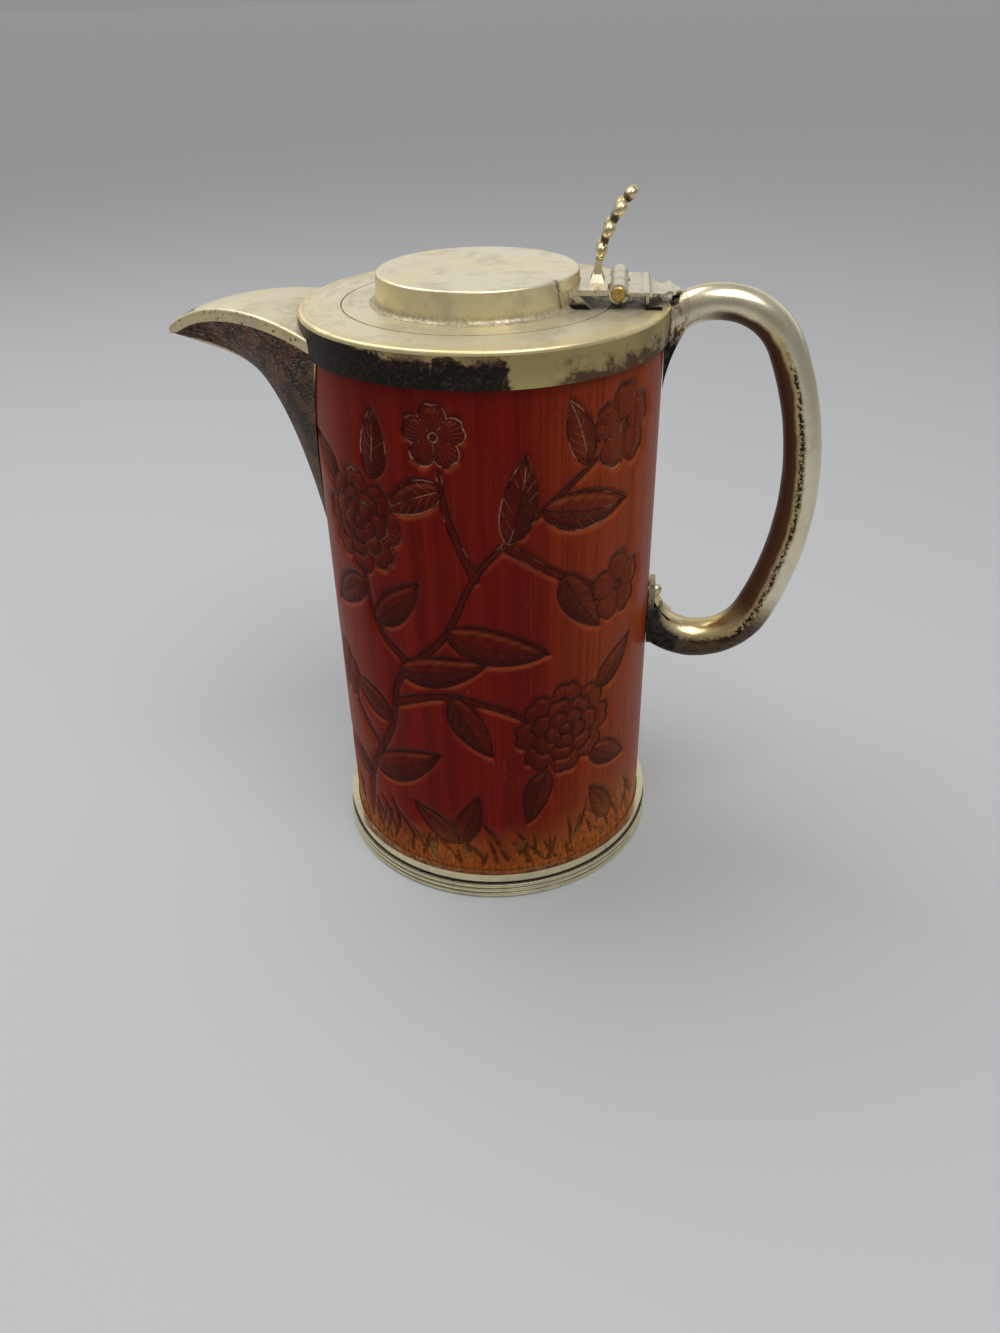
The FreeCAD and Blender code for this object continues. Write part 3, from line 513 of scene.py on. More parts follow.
def distance_to(path, widths):
    """Distance from every grid point to a line whose half-width changes along it."""
    best = np.full(across.shape, np.inf)
    for (start, end), (start_half, end_half) in zip(zip(path, path[1:]), zip(widths, widths[1:])):
        step = end - start
        share = ((across - start[0]) * step[0] + (height - start[1]) * step[1]) / max(step @ step, 1e-9)
        share = np.clip(share, 0, 1)
        off = np.hypot(across - start[0] - share * step[0], height - start[1] - share * step[1])
        best = np.minimum(best, off - start_half - share * (end_half - start_half))
    return best


def cut_stem(carving, points, start_width, end_width, tone=0.7):
    path = smooth_path(points)
    widths = np.linspace(start_width / 2, end_width / 2, len(path))
    distance = distance_to(path, widths)
    hollow = -0.08 - 0.2 * np.clip(1 + distance / (start_width / 2), 0, 1) ** 2
    carving.cut(distance, hollow, tone, None, None, groove=0.65, groove_half=0.6)


print("stem ready")

# %% [markdown]
# ## The design
# A common garden subject fills the body: a flowering branch over a strip of grass. Places are shares of the
# panel between the mounts, as in the solid: sideways to the spout or the handle, and up from the ring to
# the collar. The back has the same branch the other way round. Seeded chance scatters the grass, so every
# run cuts the same blades.

# %% Draw the design
stems = [
    [(-0.58, 0.03), (-0.52, 0.17), (-0.37, 0.31), (-0.30, 0.44)]
    + [(-0.10, 0.55), (0.03, 0.68), (0.24, 0.78), (0.47, 0.86)],
    [(-0.33, 0.38), (-0.12, 0.42), (0.08, 0.40), (0.22, 0.36)],
    [(-0.26, 0.48), (-0.39, 0.54), (-0.44, 0.65)],
    [(0.02, 0.67), (-0.06, 0.77), (-0.09, 0.86)],
    [(0.13, 0.73), (0.33, 0.66), (0.48, 0.62)],
    [(-0.44, 0.25), (-0.56, 0.30), (-0.62, 0.34)],
]
# Leaves: place of the stalk, heading in degrees, length and width in millimetres
leaves = [
    (-0.53, 0.15, 160, 24, 9.5),
    (-0.49, 0.19, 20, 31, 11.5),
    (-0.36, 0.33, 148, 22, 9.5),
    (-0.30, 0.46, 4, 29, 10.5),
    (-0.09, 0.56, -24, 31, 11.5),
    (-0.08, 0.83, 196, 20, 9.0),
    (0.14, 0.735, 70, 25, 10.0),
    (0.26, 0.79, -15, 29, 11.0),
    (0.43, 0.855, 100, 19, 8.5),
    (-0.08, 0.42, -70, 24, 10.0),
    (-0.40, 0.55, 35, 23, 9.5),
    (-0.43, 0.62, 205, 24, 9.5),
    (-0.55, 0.80, 140, 18, 8.5),
    (-0.36, 0.83, 75, 20, 9.0),
    (0.50, 0.40, 30, 20, 9.0),
    (0.28, 0.24, 245, 21, 9.0),
    (0.48, 0.26, -40, 20, 9.0),
    (0.34, 0.66, -65, 24, 10.0),
    (-0.10, 0.06, 60, 22, 8.0),
    (-0.10, 0.06, 128, 20, 8.0),
    (0.60, 0.05, 110, 20, 8.0),
]
# Blossoms: place of the middle and radius in millimetres
double_blossoms = [(0.36, 0.33, 17.0), (-0.44, 0.74, 16.0)]
single_blossoms = [(0.60, 0.90, 12.0), (0.60, 0.60, 11.0), (-0.10, 0.92, 9.0), (-0.68, 0.38, 10.0)]
# Rings: count of the petals and share of the blossom's radius
double_rings = [(8, 1.0), (7, 0.7), (5, 0.44)]
single_rings = [(5, 1.0)]
stem_width, tip_width = 2.5, 1.2
blades_of_grass = 70
print("design of", len(stems), "stems and", len(leaves), "leaves for each side")

# %% [markdown]
# ## Cutting it
# Later cuts lie over earlier ones: first the grass, then stems, leaves and blossoms. One loop cuts both
# sides, the second the other way round.

# %% Cut both sides
chance = np.random.default_rng(7)
for middle, side in ((0.0, 1), (2 * quarter, -1)):

    def flat(sideways, up):
        return middle + side * sideways * quarter, ring_top + up * (collar_bottom - ring_top)

    for blade in range(blades_of_grass):
        foot = flat(chance.uniform(-0.8, 0.8), chance.uniform(-0.02, 0.06))
        lean, length = chance.uniform(55, 125), chance.uniform(6, 15)
        cut_leaf(carving, foot, lean, length, chance.uniform(0.7, 1.2), 0.2, 0.2, 0.0)
    for places in stems:
        cut_stem(carving, [flat(*place) for place in places], stem_width, tip_width)
    for sideways, up, heading, length, width in leaves:
        way = heading if side > 0 else 180 - heading
        cut_leaf(carving, flat(sideways, up), way, length, width, 0.14, chance.uniform(0.4, 0.85))
    for sideways, up, radius in double_blossoms:
        cut_blossom(carving, flat(sideways, up), radius, double_rings, 0.3)
    for sideways, up, radius in single_blossoms:
        cut_blossom(carving, flat(sideways, up), radius, single_rings, 0.35)
print("motifs cut:", carving.count, "deepest", round(float(carving.depth.min()), 2), "mm")

# %% [markdown]
# ## Rolling the grid round the culm
# The flat grid becomes a tube: `across` turns into an angle, and the depth comes off the radius. The depth
# is smoothed a little first, as sanding does, and fades under the mounts. A plain inner wall goes inside.
# Both walls leave out the hole through which the jug pours; cutting it with a Boolean would break up the
# neat grid.

# %% Roll the walls
front_angle = math.radians(-90)
bore_radius = 43.9
port_height, port_radius = 152.0, 9.3
fade_width = 1.5
fade = np.clip(np.minimum(height - ring_top, collar_bottom - height) / fade_width, 0, 1)
smoothed = (np.roll(carving.depth, 1, 1) + 2 * carving.depth + np.roll(carving.depth, -1, 1)) / 4
smoothed[1:-1] = (smoothed[:-2] + 2 * smoothed[1:-1] + smoothed[2:]) / 4
carved_depth = smoothed * fade


def rolled(columns, rows, radius):
    """Points on a tube; radius is one number or one for each point."""
    flat_across, flat_height = np.meshgrid(columns, rows)
    angle = front_angle + flat_across / body_radius
    return np.stack([radius * np.cos(angle), radius * np.sin(angle), flat_height], -1).reshape(-1, 3)


def wall(columns, rows, radius, outward):
    """Points and faces of one wall of the tube; points at the pouring hole move onto its circle."""
    points = rolled(columns, rows, radius)
    count = len(columns)
    low = np.arange((len(rows) - 1) * count).reshape(-1, count)
    beside = np.roll(low, -1, 1)
    faces = np.stack([low, beside, beside + count, low + count], -1).reshape(-1, 4)
    middles = points[faces].mean(1)
    open_face = (np.hypot(middles[:, 1], middles[:, 2] - port_height) < port_radius) & (middles[:, 0] < 0)
    rim = np.intersect1d(faces[open_face], faces[~open_face])
    y, z = points[rim, 1], points[rim, 2] - port_height
    reach = np.hypot(y, z)
    outer = np.hypot(points[rim, 0], points[rim, 1])
    points[rim, 1], points[rim, 2] = y / reach * port_radius, port_height + z / reach * port_radius
    points[rim, 0] = -np.sqrt(outer**2 - points[rim, 1] ** 2)
    faces = faces[~open_face]
    return points, faces if outward else faces[:, ::-1]


outer_points, outer_faces = wall(grid_columns, grid_rows, body_radius + carved_depth, True)
inner_columns = run(-quarter, 3 * quarter, 2.6)
port_low, port_high = port_height - 12, port_height + 12
inner_rows = np.concatenate(
    [run(body_bottom, port_low, 35), run(port_low, port_high, 2), run(port_high, body_top, 7), [body_top]]
)
inner_points, inner_faces = wall(inner_columns, inner_rows, bore_radius, False)
points = np.concatenate([outer_points, inner_points])
faces = np.concatenate([outer_faces, inner_faces + len(outer_points)])
kept = np.unique(faces)
renumbered = np.zeros(len(points), int)
renumbered[kept] = np.arange(len(kept))
print("walls of", len(outer_faces), "and", len(inner_faces), "faces")

# %% [markdown]
# ## Joining the walls
# The two walls have three pairs of open edges: at the foot, at the top and round the pouring hole.
# `bridge_loops` joins each pair with a strip of faces, whatever the number of points on each side.

# %% Join the walls
body_mesh = bpy.data.meshes.new("carved_body")
body_mesh.from_pydata((points[kept] * MM).tolist(), [], renumbered[faces].tolist())
shaping = bmesh.new()
shaping.from_mesh(body_mesh)
open_edges = [edge for edge in shaping.edges if edge.is_boundary]


def height_of(edge):
    return (edge.verts[0].co.z + edge.verts[1].co.z) / 2 / MM


near = 0.01
foot_edges, top_edges = (body_bottom - near, body_bottom + near), (body_top - near, body_top + near)
for low, high in (foot_edges, top_edges, (port_low, port_high)):
    loop = [edge for edge in open_edges if low < height_of(edge) < high]
    bmesh.ops.bridge_loops(shaping, edges=loop)
bmesh.ops.recalc_face_normals(shaping, faces=shaping.faces)
shaping.to_mesh(body_mesh)
shaping.free()
body_mesh.shade_smooth()
body_mesh.set_sharp_from_angle(angle=math.radians(50))
carved_body = add_object("carved_body", body_mesh)
triangles = sum(len(polygon.vertices) - 2 for polygon in body_mesh.polygons)
print("carved body of", triangles, "triangles")

# %% [markdown]
# ## What the finish needs to know
# The finish has to follow the carving, so each point keeps its distances, its place in a motif and its
# depth. A painted image would blur the lines. Then the carved body takes the place of the plain solid.


# %% Keep the carving on the points
def keep_on_points(name, *fields):
    """Keeps three numbers on each point of the body for its finish to read."""
    values = np.zeros((len(points), 3), np.float32)
    values[: across.size] = np.stack([field.reshape(-1) for field in fields], -1)
    layer = body_mesh.attributes.new(name, "FLOAT_VECTOR", "POINT")
    layer.data.foreach_set("vector", values[kept].reshape(-1))


keep_on_points("outline", *[np.clip(edge, -Carving.far, Carving.far) for edge in carving.edges])
keep_on_points("vein", carving.rib, carving.phase, carving.fill)
keep_on_points("tone", carving.tone, carved_depth, fade)
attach(carved_body, "jug")
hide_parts("bamboo_body")
print("attributes:", ", ".join(layer.name for layer in body_mesh.attributes if not layer.is_internal))

# %% [markdown]
# ## Lacquered bamboo: where it wore, with painted sheen at the sides
# The red is a stain under a clear lacquer. Fibres run straight up the culm, so their noise is squeezed
# round it and drawn out along it. Toward the sides the red is painted lighter and more orange, as painted
# sheen, and toward the foot it is lighter and more orange too. An image could be wrapped round the body
# instead, but noise has no seam and stays sharp close up.


# %% Map the fibres and the wear
def threads(field, wide, narrow):
    """Thin winding lines, where a noise passes its middle value."""
    return abs(field - 0.5).ramp(wide, narrow)


bamboo = Finish("lacquered_bamboo")
fibre = noise(stretch(bamboo.place, (1.9, 1.9, 0.010)), 1.0, 4.0, 0.6)
streak = noise(stretch(bamboo.place, (0.16, 0.16, 0.004)), 1.0, 3.0)
cloud = noise(bamboo.place, 0.035, 2.0)
grain = noise(bamboo.place, 0.9, 4.0, 0.6)
# Painted sheen: the red is painted lighter and more orange toward the left and right sides.
right_sheen = (bamboo.x + streak * 12 + cloud * 12).ramp(22, 60)
left_sheen = (bamboo.x * -1 + streak * 10 + cloud * 10).ramp(36, 58)
side = right_sheen.max(left_sheen * 0.65)
foot = (bamboo.z + cloud * 34 + streak * 10 - right_sheen * 12).ramp(52, 28)
strokes = threads(noise(stretch(bamboo.place, (1.0, 1.0, 0.16)), 1.1, 1.5, 0.5, 0.6), 0.045, 0.010) * foot
thin_streak = threads(noise(stretch(bamboo.place, (0.75, 0.75, 0.005)), 1.0, 2.0, 0.5), 0.035, 0.008)
thin_streak = thin_streak * (bamboo.x + cloud * 20).ramp(-8, 24) * grain.ramp(0.30, 0.55)
scratch = threads(noise(stretch(bamboo.place, (0.9, 0.9, 0.10)), 0.6, 1.0, 0.4, 0.8), 0.006, 0.0)
scratch = scratch * noise(bamboo.place, 0.06, 2.0).ramp(0.58, 0.68)
print("fibres and wear in", len(bamboo.tree.nodes), "nodes")

# %% [markdown]
# ## The carver's lines
# A knife leaves lines that are finer than the grid of points. The distances kept on the points are smooth,
# so the finish draws a line wherever a distance passes zero: round each motif, along its rib and at each
# vein. Dirt fills the lines. Faces of the carving that look up get a painted highlight and those that look
# down a painted shade, as if lit from above, and some lines get painted glints, near the top also worn pale.

# %% Draw the lines
rib, phase, fill = parts_of(bamboo.attribute("vein"))
tone, depth, shown = parts_of(bamboo.attribute("tone"))
edge_lines = [abs(part).ramp(0.34, 0.05) for part in parts_of(bamboo.attribute("outline"))]
outline = edge_lines[0].max(edge_lines[1]).max(edge_lines[2]) * shown
rib_line = abs(rib).ramp(0.24, 0.04)
vein_line = abs(phase.maths("FRACT") - 0.5).ramp(0.43, 0.5) * abs(rib).ramp(5.9, 5.0)
lines = outline.max(rib_line.max(vein_line * 0.7) * fill) * (0.5 + 0.5 * grain.ramp(0.35, 0.6))
# The stain is heavier on one side of each rib, as painted shade that makes the leaves look cupped.
stain_and_half_shade = fill * (0.46 + 0.46 * tone) * (0.75 + 0.35 * rib.ramp(1.2, -1.2)) * (0.7 + 0.3 * grain)
stain_and_half_shade = stain_and_half_shade * (1 - 0.35 * foot)
# Painted shade on faces of the carving that look down, painted highlight on those that look up.
painted_underside_shade = bamboo.facing[2].ramp(-0.08, -0.40) * shown
painted_top_highlight = bamboo.facing[2].ramp(0.10, 0.45) * shown * (0.35 + 0.65 * grain)
# Near the top some lines are pale, partly worn and partly painted glints; at the foot some lines get painted
# glints.
worn_and_glint_high = lines * noise(bamboo.place, 0.11, 3.0).ramp(0.50, 0.60) * bamboo.z.ramp(100, 150)
painted_glint_low = lines * noise(bamboo.place, 0.14, 2.0).ramp(0.53, 0.60) * foot
print("with the lines,", len(bamboo.tree.nodes), "nodes")

# %% [markdown]
# ## Colours in layers
# Lacquer is built up in coats, and so is this finish: each layer covers those before it by its own share.
# One long formula would do the same, but a list can be read and reordered. The clear coat is thin, since
# old lacquer is dull.

# %% Lay the colours
red = mix(streak.ramp(0.3, 0.7), (0.128, 0.0048, 0.0022), (0.190, 0.0078, 0.0028))
layers = [
    (fibre.ramp(0.50, 0.78) * 0.35, (0.280, 0.0280, 0.0065)),  # pale fibres
    (fibre.ramp(0.42, 0.24) * 0.45, (0.075, 0.0040, 0.0026)),  # dark fibres
    (side * 0.80, (0.310, 0.0540, 0.0090)),  # painted sheen toward the sides
    (thin_streak * 0.55, (0.060, 0.0050, 0.0026)),
    (foot * 0.75, (0.460, 0.1300, 0.0200)),  # lighter and more orange toward the foot
    (strokes * 0.8, (0.085, 0.0180, 0.0060)),
    (stain_and_half_shade, (0.034, 0.0076, 0.0040)),  # stain inside the motifs, with painted shade on one side of each rib
    ((depth * -1).ramp(0.35, 1.0) * 0.50, (0.022, 0.0050, 0.0030)),  # deep cuts
    (lines * (0.90 - 0.40 * foot), (0.010, 0.0040, 0.0028)),
    # painted shade on faces that look down, then painted highlight on faces that look up
    (painted_underside_shade * 0.65, (0.012, 0.0040, 0.0028)),
    (painted_top_highlight * 0.60, (0.420, 0.1150, 0.0420)),
    # worn lines and painted glints near the top, painted glints at the foot
    (worn_and_glint_high * 0.8, (0.560, 0.2700, 0.1400)),
    (painted_glint_low * 0.5, (0.520, 0.2800, 0.0900)),
    (scratch * 0.4, (0.45, 0.20, 0.10)),
]
for share, colour in layers:
    red = mix(share, red, colour)
body_mesh.materials.append(
    bamboo.set(
        Base_Color=red,
        Roughness=(0.36 + 0.12 * fibre + 0.15 * fill).clip(),
        Specular_IOR_Level=0.04,
        Coat_Weight=0.055 + 0.06 * side,
        Coat_Roughness=0.10,
        height=fibre * 0.05 - lines * 0.2 - strokes * 0.12 - scratch * 0.05,
    )
)
print("bamboo of", len(layers), "layers")

# %% [markdown]
# ## Worn silver plate
# All the mounts share one metal: warm silver plate, dulled by polishing and yellowed by air. What differs
# is where it went dark. So one function mixes the common metal, and each mount passes it two masks: where
# it is dark, and where the plate is golden. The dark mask holds tarnish, and on some mounts painted shade
# and a painted reflection too. Tarnish is not metal, so it also takes away the mirror, and so does the
# painted dark.

# %% Mix the common metal
PALE = (0.80, 0.755, 0.590)
GOLDEN = (0.78, 0.640, 0.330)
BROWN = (0.130, 0.072, 0.038)
BLACK = (0.016, 0.013, 0.012)
SMUDGE = (0.50, 0.440, 0.315)
SPECK = (0.46, 0.40, 0.29)


def silver(finish, tarnish_and_painted_light, golden, polish=0.24, deep=None, relief=None, film=0.0, gold=GOLDEN, brown=BROWN):
    """The common metal: deep says where tarnish and painted shade are black, film how much of the shine a
    haze takes away.
    """
    place = finish.place
    patches = noise(place, 0.07, 3.0)
    smudges = noise(place, 0.11, 5.0, 0.65)
    grain = noise(place, 1.3, 5.0, 0.7)
    rub = noise(stretch(place, (1.0, 1.0, 5.0)), 0.9, 3.0, 0.6)
    spots = noise(place, 0.75, 3.0, 0.6).ramp(0.66, 0.74) * noise(place, 0.13, 2.0).ramp(0.50, 0.62) * 0.4
    colour = mix((golden * 0.85 + patches.ramp(0.35, 0.75) * 0.2).clip(), PALE, gold)
    colour = mix(smudges.ramp(0.48, 0.64) * 0.42, colour, SMUDGE)
    colour = mix(grain.ramp(0.52, 0.75) * 0.2, colour, SPECK)
    darkness = (tarnish_and_painted_light + spots).clip()
    black = (grain * 0.6 + 0.1 if deep is None else deep).clip()
    height = rub * 0.004 + grain * 0.004
    return finish.set(
        Base_Color=mix(darkness, colour, mix(black, brown, BLACK)),
        Metallic=(1 - film - 0.7 * darkness).clip(),
        Roughness=(polish - 0.08 + 0.10 * patches + 0.12 * rub + 0.10 * smudges + 0.18 * darkness).clip(),
        IOR=1.3,
        Specular_IOR_Level=0.2,
        height=height if relief is None else height + relief,
    )


print("metal mixed from", len((PALE, GOLDEN, BROWN, BLACK, SMUDGE, SPECK)), "colours")

# %% [markdown]
# ## Top plate and lid disc
# The flat top is the palest part, wiped often and never quite clean. Grey streaks follow the rubbing round
# the lid, so their noise is laid out by distance and angle from its middle, and dirt gathers at the hinge.

# %% Dress the top plate and the lid disc
lid_centre = -1.7
plate_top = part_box("top_plate")[1].z / MM


def hinge_dirt(finish):
    near_hinge = finish.x.ramp(20, 36) * abs(finish.y).ramp(20, 10)
    return near_hinge * noise(finish.place, 0.5, 4.0, 0.65).ramp(0.46, 0.66)


top = Finish("rubbed_plate")
reach, angle = top.around(lid_centre)
rings = noise(joined(reach * 0.55, angle * 0.05, top.z * 0.3), 1.0, 4.0, 0.65)
brushed = noise(joined(reach * 1.9, angle * 0.07, top.z * 0.3), 1.0, 3.0, 0.6)
rubbing = rings.ramp(0.50, 0.72) * 0.30 + brushed.ramp(0.50, 0.70) * 0.20
top_tarnish = (rubbing * top.y.ramp(-36, -10).max(0.22) + hinge_dirt(top) * 0.5).clip()
top_golden = (0.15 + reach.ramp(44, 51) * 0.7 + top.facing[2].ramp(0.9, 0.5) * 0.5).clip()
top_paint = silver(top, top_tarnish, top_golden, 0.31, top.even(0.25), film=0.18)
dress(top_paint, "top_plate", "lid_disc", "mouth_ring", "lid_bezel")

# %% [markdown]
# ## Crown of the lid
# The crown has a golden wall, with a speckled dark line where it meets the disc and a small crease beside
# the hinge. Its left side is painted darker and more golden, as painted shade. The crease is too slight to
# model, so the finish draws it and presses it in as bump.

# %% Dress the crown
crown = Finish("crown_plate")
reach, angle = crown.around(lid_centre)
rise = crown.z - plate_top
upright_wall = crown.facing[2].ramp(0.75, 0.25)
speckle = noise(crown.place, 0.95, 4.0, 0.7)
foot_dirt = rise.ramp(3.0, 0.4) * (0.45 + 0.55 * speckle.ramp(0.38, 0.60))
crease = (angle + rise * 0.35 + speckle * 5).hump(-30, 2.2) * rise.ramp(0.6, 1.6) * reach.ramp(25.5, 28.0)
hinge_side = angle.hump(-8, 24) * noise(crown.place, 0.3, 3.0).ramp(0.34, 0.58) * upright_wall
# Painted shade: the left of the crown is darker and more golden.
painted_left_shade = crown.x.ramp(6, -24) * 0.07
dirt_and_painted_light = painted_left_shade + foot_dirt * 0.62 + crease * 0.8 + hinge_side * 0.75 + hinge_dirt(crown) * 0.3
drift = noise(joined(angle * 0.045, rise * 0.02, 0), 1.0, 2.0)
veil = noise(crown.place, 0.045, 2.0).ramp(0.40, 0.64)
yellow = upright_wall * (0.70 + 0.30 * drift.ramp(0.4, 0.6)) + veil * 0.40 + painted_left_shade * 3
crown_gold = (0.88, 0.745, 0.41)
crown_black = crown.even(0.25)
crown_paint = silver(
    crown, dirt_and_painted_light.clip(), yellow.clip(), 0.27, crown_black, crease * -0.3, film=0.24, gold=crown_gold
)
dress(crown_paint, "lid_crown")

# %% [markdown]
# ## Collar band
# The upper part of the band is rubbed bright by every hand that opens the lid. Below, old tarnish is nearly
# black, in ragged patches that stop short on one side. A noise with many octaves gives the ragged edge, and
# the height in the band and the angle round it move its threshold.

# %% Dress the collar
collar = Finish("collar_plate")
angle = collar.around()[1]
band = (collar.z - collar_bottom) / (plate_top - collar_bottom)
blotch = noise(stretch(collar.place, (1.0, 1.0, 1.3)), 0.20, 7.0, 0.64)
broad = noise(collar.place, 0.05, 2.0)
mottle = noise(collar.place, 0.9, 4.0, 0.7)
black_side = (angle + (broad - 0.5) * 8 + (mottle - 0.5) * 5).ramp(-75.5, -77.5)
black_side = black_side.max((angle + broad * 40).ramp(60, 75))
ragged = blotch + (0.80 - band) * 0.75 + angle.ramp(-112, -135) * 0.22 - angle.hump(-108, 12) * 0.10
clear_end = (angle + (broad - 0.5) * 16).ramp(-66, -60)
faint = (blotch + (0.45 - band) * 0.45).ramp(0.46, 0.80) * clear_end
wiping = noise(joined(angle * 0.10, band * 1.2, 0), 1.0, 4.0, 0.6)
smear = wiping.ramp(0.40, 0.62) * black_side * 0.45
haze = 0.30 + 0.2 * broad.ramp(0.4, 0.6)
collar_tarnish = (ragged.ramp(0.42, 0.66) * black_side + smear + faint * 0.85 + haze).clip()
collar_black = (ragged.ramp(0.46, 0.62) * black_side * mottle.ramp(0.84, 0.50) + faint * 0.25).clip()
olive = (0.64, 0.54, 0.22)
dress(silver(collar, collar_tarnish, 1.1, 0.20, collar_black, gold=olive), "collar_band")

# %% [markdown]
# ## Spout cover
# The cover over the spout is as pale as the top, with a yellow rolled edge that is pitted. The edge is
# found by the way its faces look, so the mask follows the roll without any measuring.

# %% Dress the spout's cover
cover = Finish("spout_cover_plate")
rolled_edge = abs(cover.facing[1]).ramp(0.45, 0.8)
edge_pits = noise(cover.place, 0.9, 2.0, 0.5).ramp(0.64, 0.70) * rolled_edge
near_body = cover.x.ramp(-56, -51.5) * noise(cover.place, 0.6, 4.0).ramp(0.45, 0.62)
# Faces of the cover that look down are darker.
underneath = cover.facing[2].ramp(-0.2, -0.6)
cover_darkening = (0.07 + edge_pits * 0.9 + near_body * 0.2 + underneath * 0.7).clip()
cover_golden = (0.22 + rolled_edge * 0.6).clip()
dress(silver(cover, cover_darkening, cover_golden, 0.27, edge_pits, film=0.18), "spout_cover")

# %% [markdown]
# ## Spout flanks
# The flanks under the cover were hardly ever polished: they are dark red-brown, with fine slanting
# scratches that show more toward the top. A Mapping node turns and stretches the noise into hairs. The keel
# is lighter, partly worn by handling and partly a painted highlight, and the line of solder against the
# collar is bright.

# %% Dress the spout's flanks
flank = Finish("spout_flank_plate")
hair_turn = {"Rotation": (0, math.radians(38), 0), "Scale": (0.35, 1, 2.6)}
slanted = Wire.node(flank.tree, "ShaderNodeMapping", None, {"Vector": flank.place, **hair_turn})
hair = noise(slanted, 1.3, 5.0, 0.75)
rust = noise(flank.place, 0.16, 4.0, 0.65)
# The keel is painted lighter: wear and a painted highlight.
keel_wear_and_highlight = abs(flank.y).ramp(0.9, 0.25)
seam_line = flank.around()[0].ramp(51.2, 50.9) * flank.z.ramp(160, 168)
scratches = hair.ramp(0.54, 0.66) * (0.18 + 0.32 * flank.z.ramp(146, 166))
flank_tarnish = (1.0 - keel_wear_and_highlight * 0.7 - seam_line * 0.5 - scratches).clip()
flank_black = (0.98 - rust.ramp(0.42, 0.60) * 0.70 - hair.ramp(0.46, 0.62) * 0.40).clip()
red_brown = (0.150, 0.062, 0.028)
dress(silver(flank, flank_tarnish, 0.5, 0.24, flank_black, hair * 0.03, brown=red_brown), "spout_shell")

# %% [markdown]
# ## The handle's path
# The handle bows out between two tight turns, so its middle line is three arcs that meet smoothly. Points
# along the arcs make a curve. A free-hand curve would do for the eye, but the arcs keep it on the measured
# solid.

# %% Lay the handle's path
# Each turn: x and z of its middle, and its radius, in millimetres
turn_top = (65.13, 157.2, 21.2)
turn_bow = (-8.1, 124.75, 101.3)
turn_bottom = (66.29, 90.5, 19.4)
last_bearing = -108.0
handle_runs = [(turn_top, 112.0, 23.9), (turn_bow, 23.9, -24.72), (turn_bottom, -24.72, last_bearing)]
path_step = 1.6
handle_path = []
for (centre_x, centre_z, turn_radius), start, end in handle_runs:
    steps = max(8, round(abs(start - end) * math.radians(1) * turn_radius / path_step))
    for bearing in np.radians(np.linspace(start, end, steps, endpoint=end == last_bearing)):
        x, z = centre_x + turn_radius * math.cos(bearing), centre_z + turn_radius * math.sin(bearing)
        handle_path.append((x * MM, 0, z * MM, 1))

path_curve = bpy.data.curves.new("handle_path", "CURVE")
path_curve.dimensions = "3D"
spline = path_curve.splines.new("POLY")
spline.points.add(len(handle_path) - 1)
spline.points.foreach_set("co", np.array(handle_path).reshape(-1))
handle_piece = add_object("handle_sweep", path_curve)
print("path of", len(handle_path), "points")

# %% [markdown]
# ## Sweeping the tube
# A tube along a path follows a rule, so Geometry Nodes make it: a circle runs along the path and grows on
# the way, because the handle is thicker at the bottom. A noise adds the shallow dents that show in the
# highlights of an old hollow handle. They fade at both ends, where solid ends are soldered on. Two
# attributes, `along` and `rim`, keep on every point where it lies along the handle and round the circle.

# %% Build the sweep
sweep = bpy.data.node_groups.new("swept_tube", "GeometryNodeTree")
sweep.interface.new_socket("Path", in_out="INPUT", socket_type="NodeSocketGeometry")
sweep_inputs = {
    "Top radius": ("NodeSocketFloat", 4.9 * MM),
    "Bottom radius": ("NodeSocketFloat", 6.2 * MM),
    "Dent depth": ("NodeSocketFloat", 0.35 * MM),
    "Sides": ("NodeSocketInt", 56),
    "Finish": ("NodeSocketMaterial", None),
}
sockets = {}
for name, (kind, value) in sweep_inputs.items():
    sockets[name] = sweep.interface.new_socket(name, in_out="INPUT", socket_type=kind)
sweep.interface.new_socket("Tube", in_out="OUTPUT", socket_type="NodeSocketGeometry")
given = {socket.name: Wire(sweep, socket) for socket in sweep.nodes.new("NodeGroupInput").outputs}


def sweep_node(kind, settings=None, **inputs):
    """A node of the sweep; an underscore in an input's name stands for a space."""
    named = {key.replace("_", " "): value for key, value in inputs.items()}
    return Wire.node(sweep, "GeometryNode" + kind, settings, named)


def stored(geometry, kind, name, value):
    settings = {"data_type": kind, "domain": "POINT"}
    return sweep_node("StoreNamedAttribute", settings, Geometry=geometry, Name=name, Value=value)


share = sweep_node("SplineParameter")
marked = stored(given["Path"], "FLOAT", "along", share)
circle = sweep_node("CurvePrimitiveCircle", Resolution=given["Sides"], Radius=1.0)
circle = stored(circle, "FLOAT_VECTOR", "rim", sweep_node("InputPosition"))
radius = given["Top radius"] + share * (given["Bottom radius"] - given["Top radius"])
tube = sweep_node("CurveToMesh", Curve=marked, Profile_Curve=circle, Scale=radius, Fill_Caps=True)
along = sweep_node("InputNamedAttribute", {"data_type": "FLOAT"}, Name="along")
spot = sweep_node("InputPosition")
dents = noise(spot, 90.0, 2.0) - 0.5
wrinkles = (noise(spot, 260.0, 2.0) - 0.5) * along.ramp(0.78, 0.90)
faded = along.ramp(0.0, 0.06) * along.ramp(1.0, 0.95)
push = (dents + wrinkles * 1.4) * faded * given["Dent depth"]
outward = sweep_node("InputNormal")
offset = Wire.node(sweep, "ShaderNodeVectorMath", {"operation": "SCALE"}, {0: outward, "Scale": push})
dented = sweep_node("SetPosition", Geometry=tube, Offset=offset)
whole = sweep_node("RealizeInstances", Geometry=dented)
painted = sweep_node("SetMaterial", Geometry=whole, Material=given["Finish"])
sweep.links.new(painted.socket, sweep.nodes.new("NodeGroupOutput").inputs["Tube"])
print("sweep of", len(sweep.nodes), "nodes")
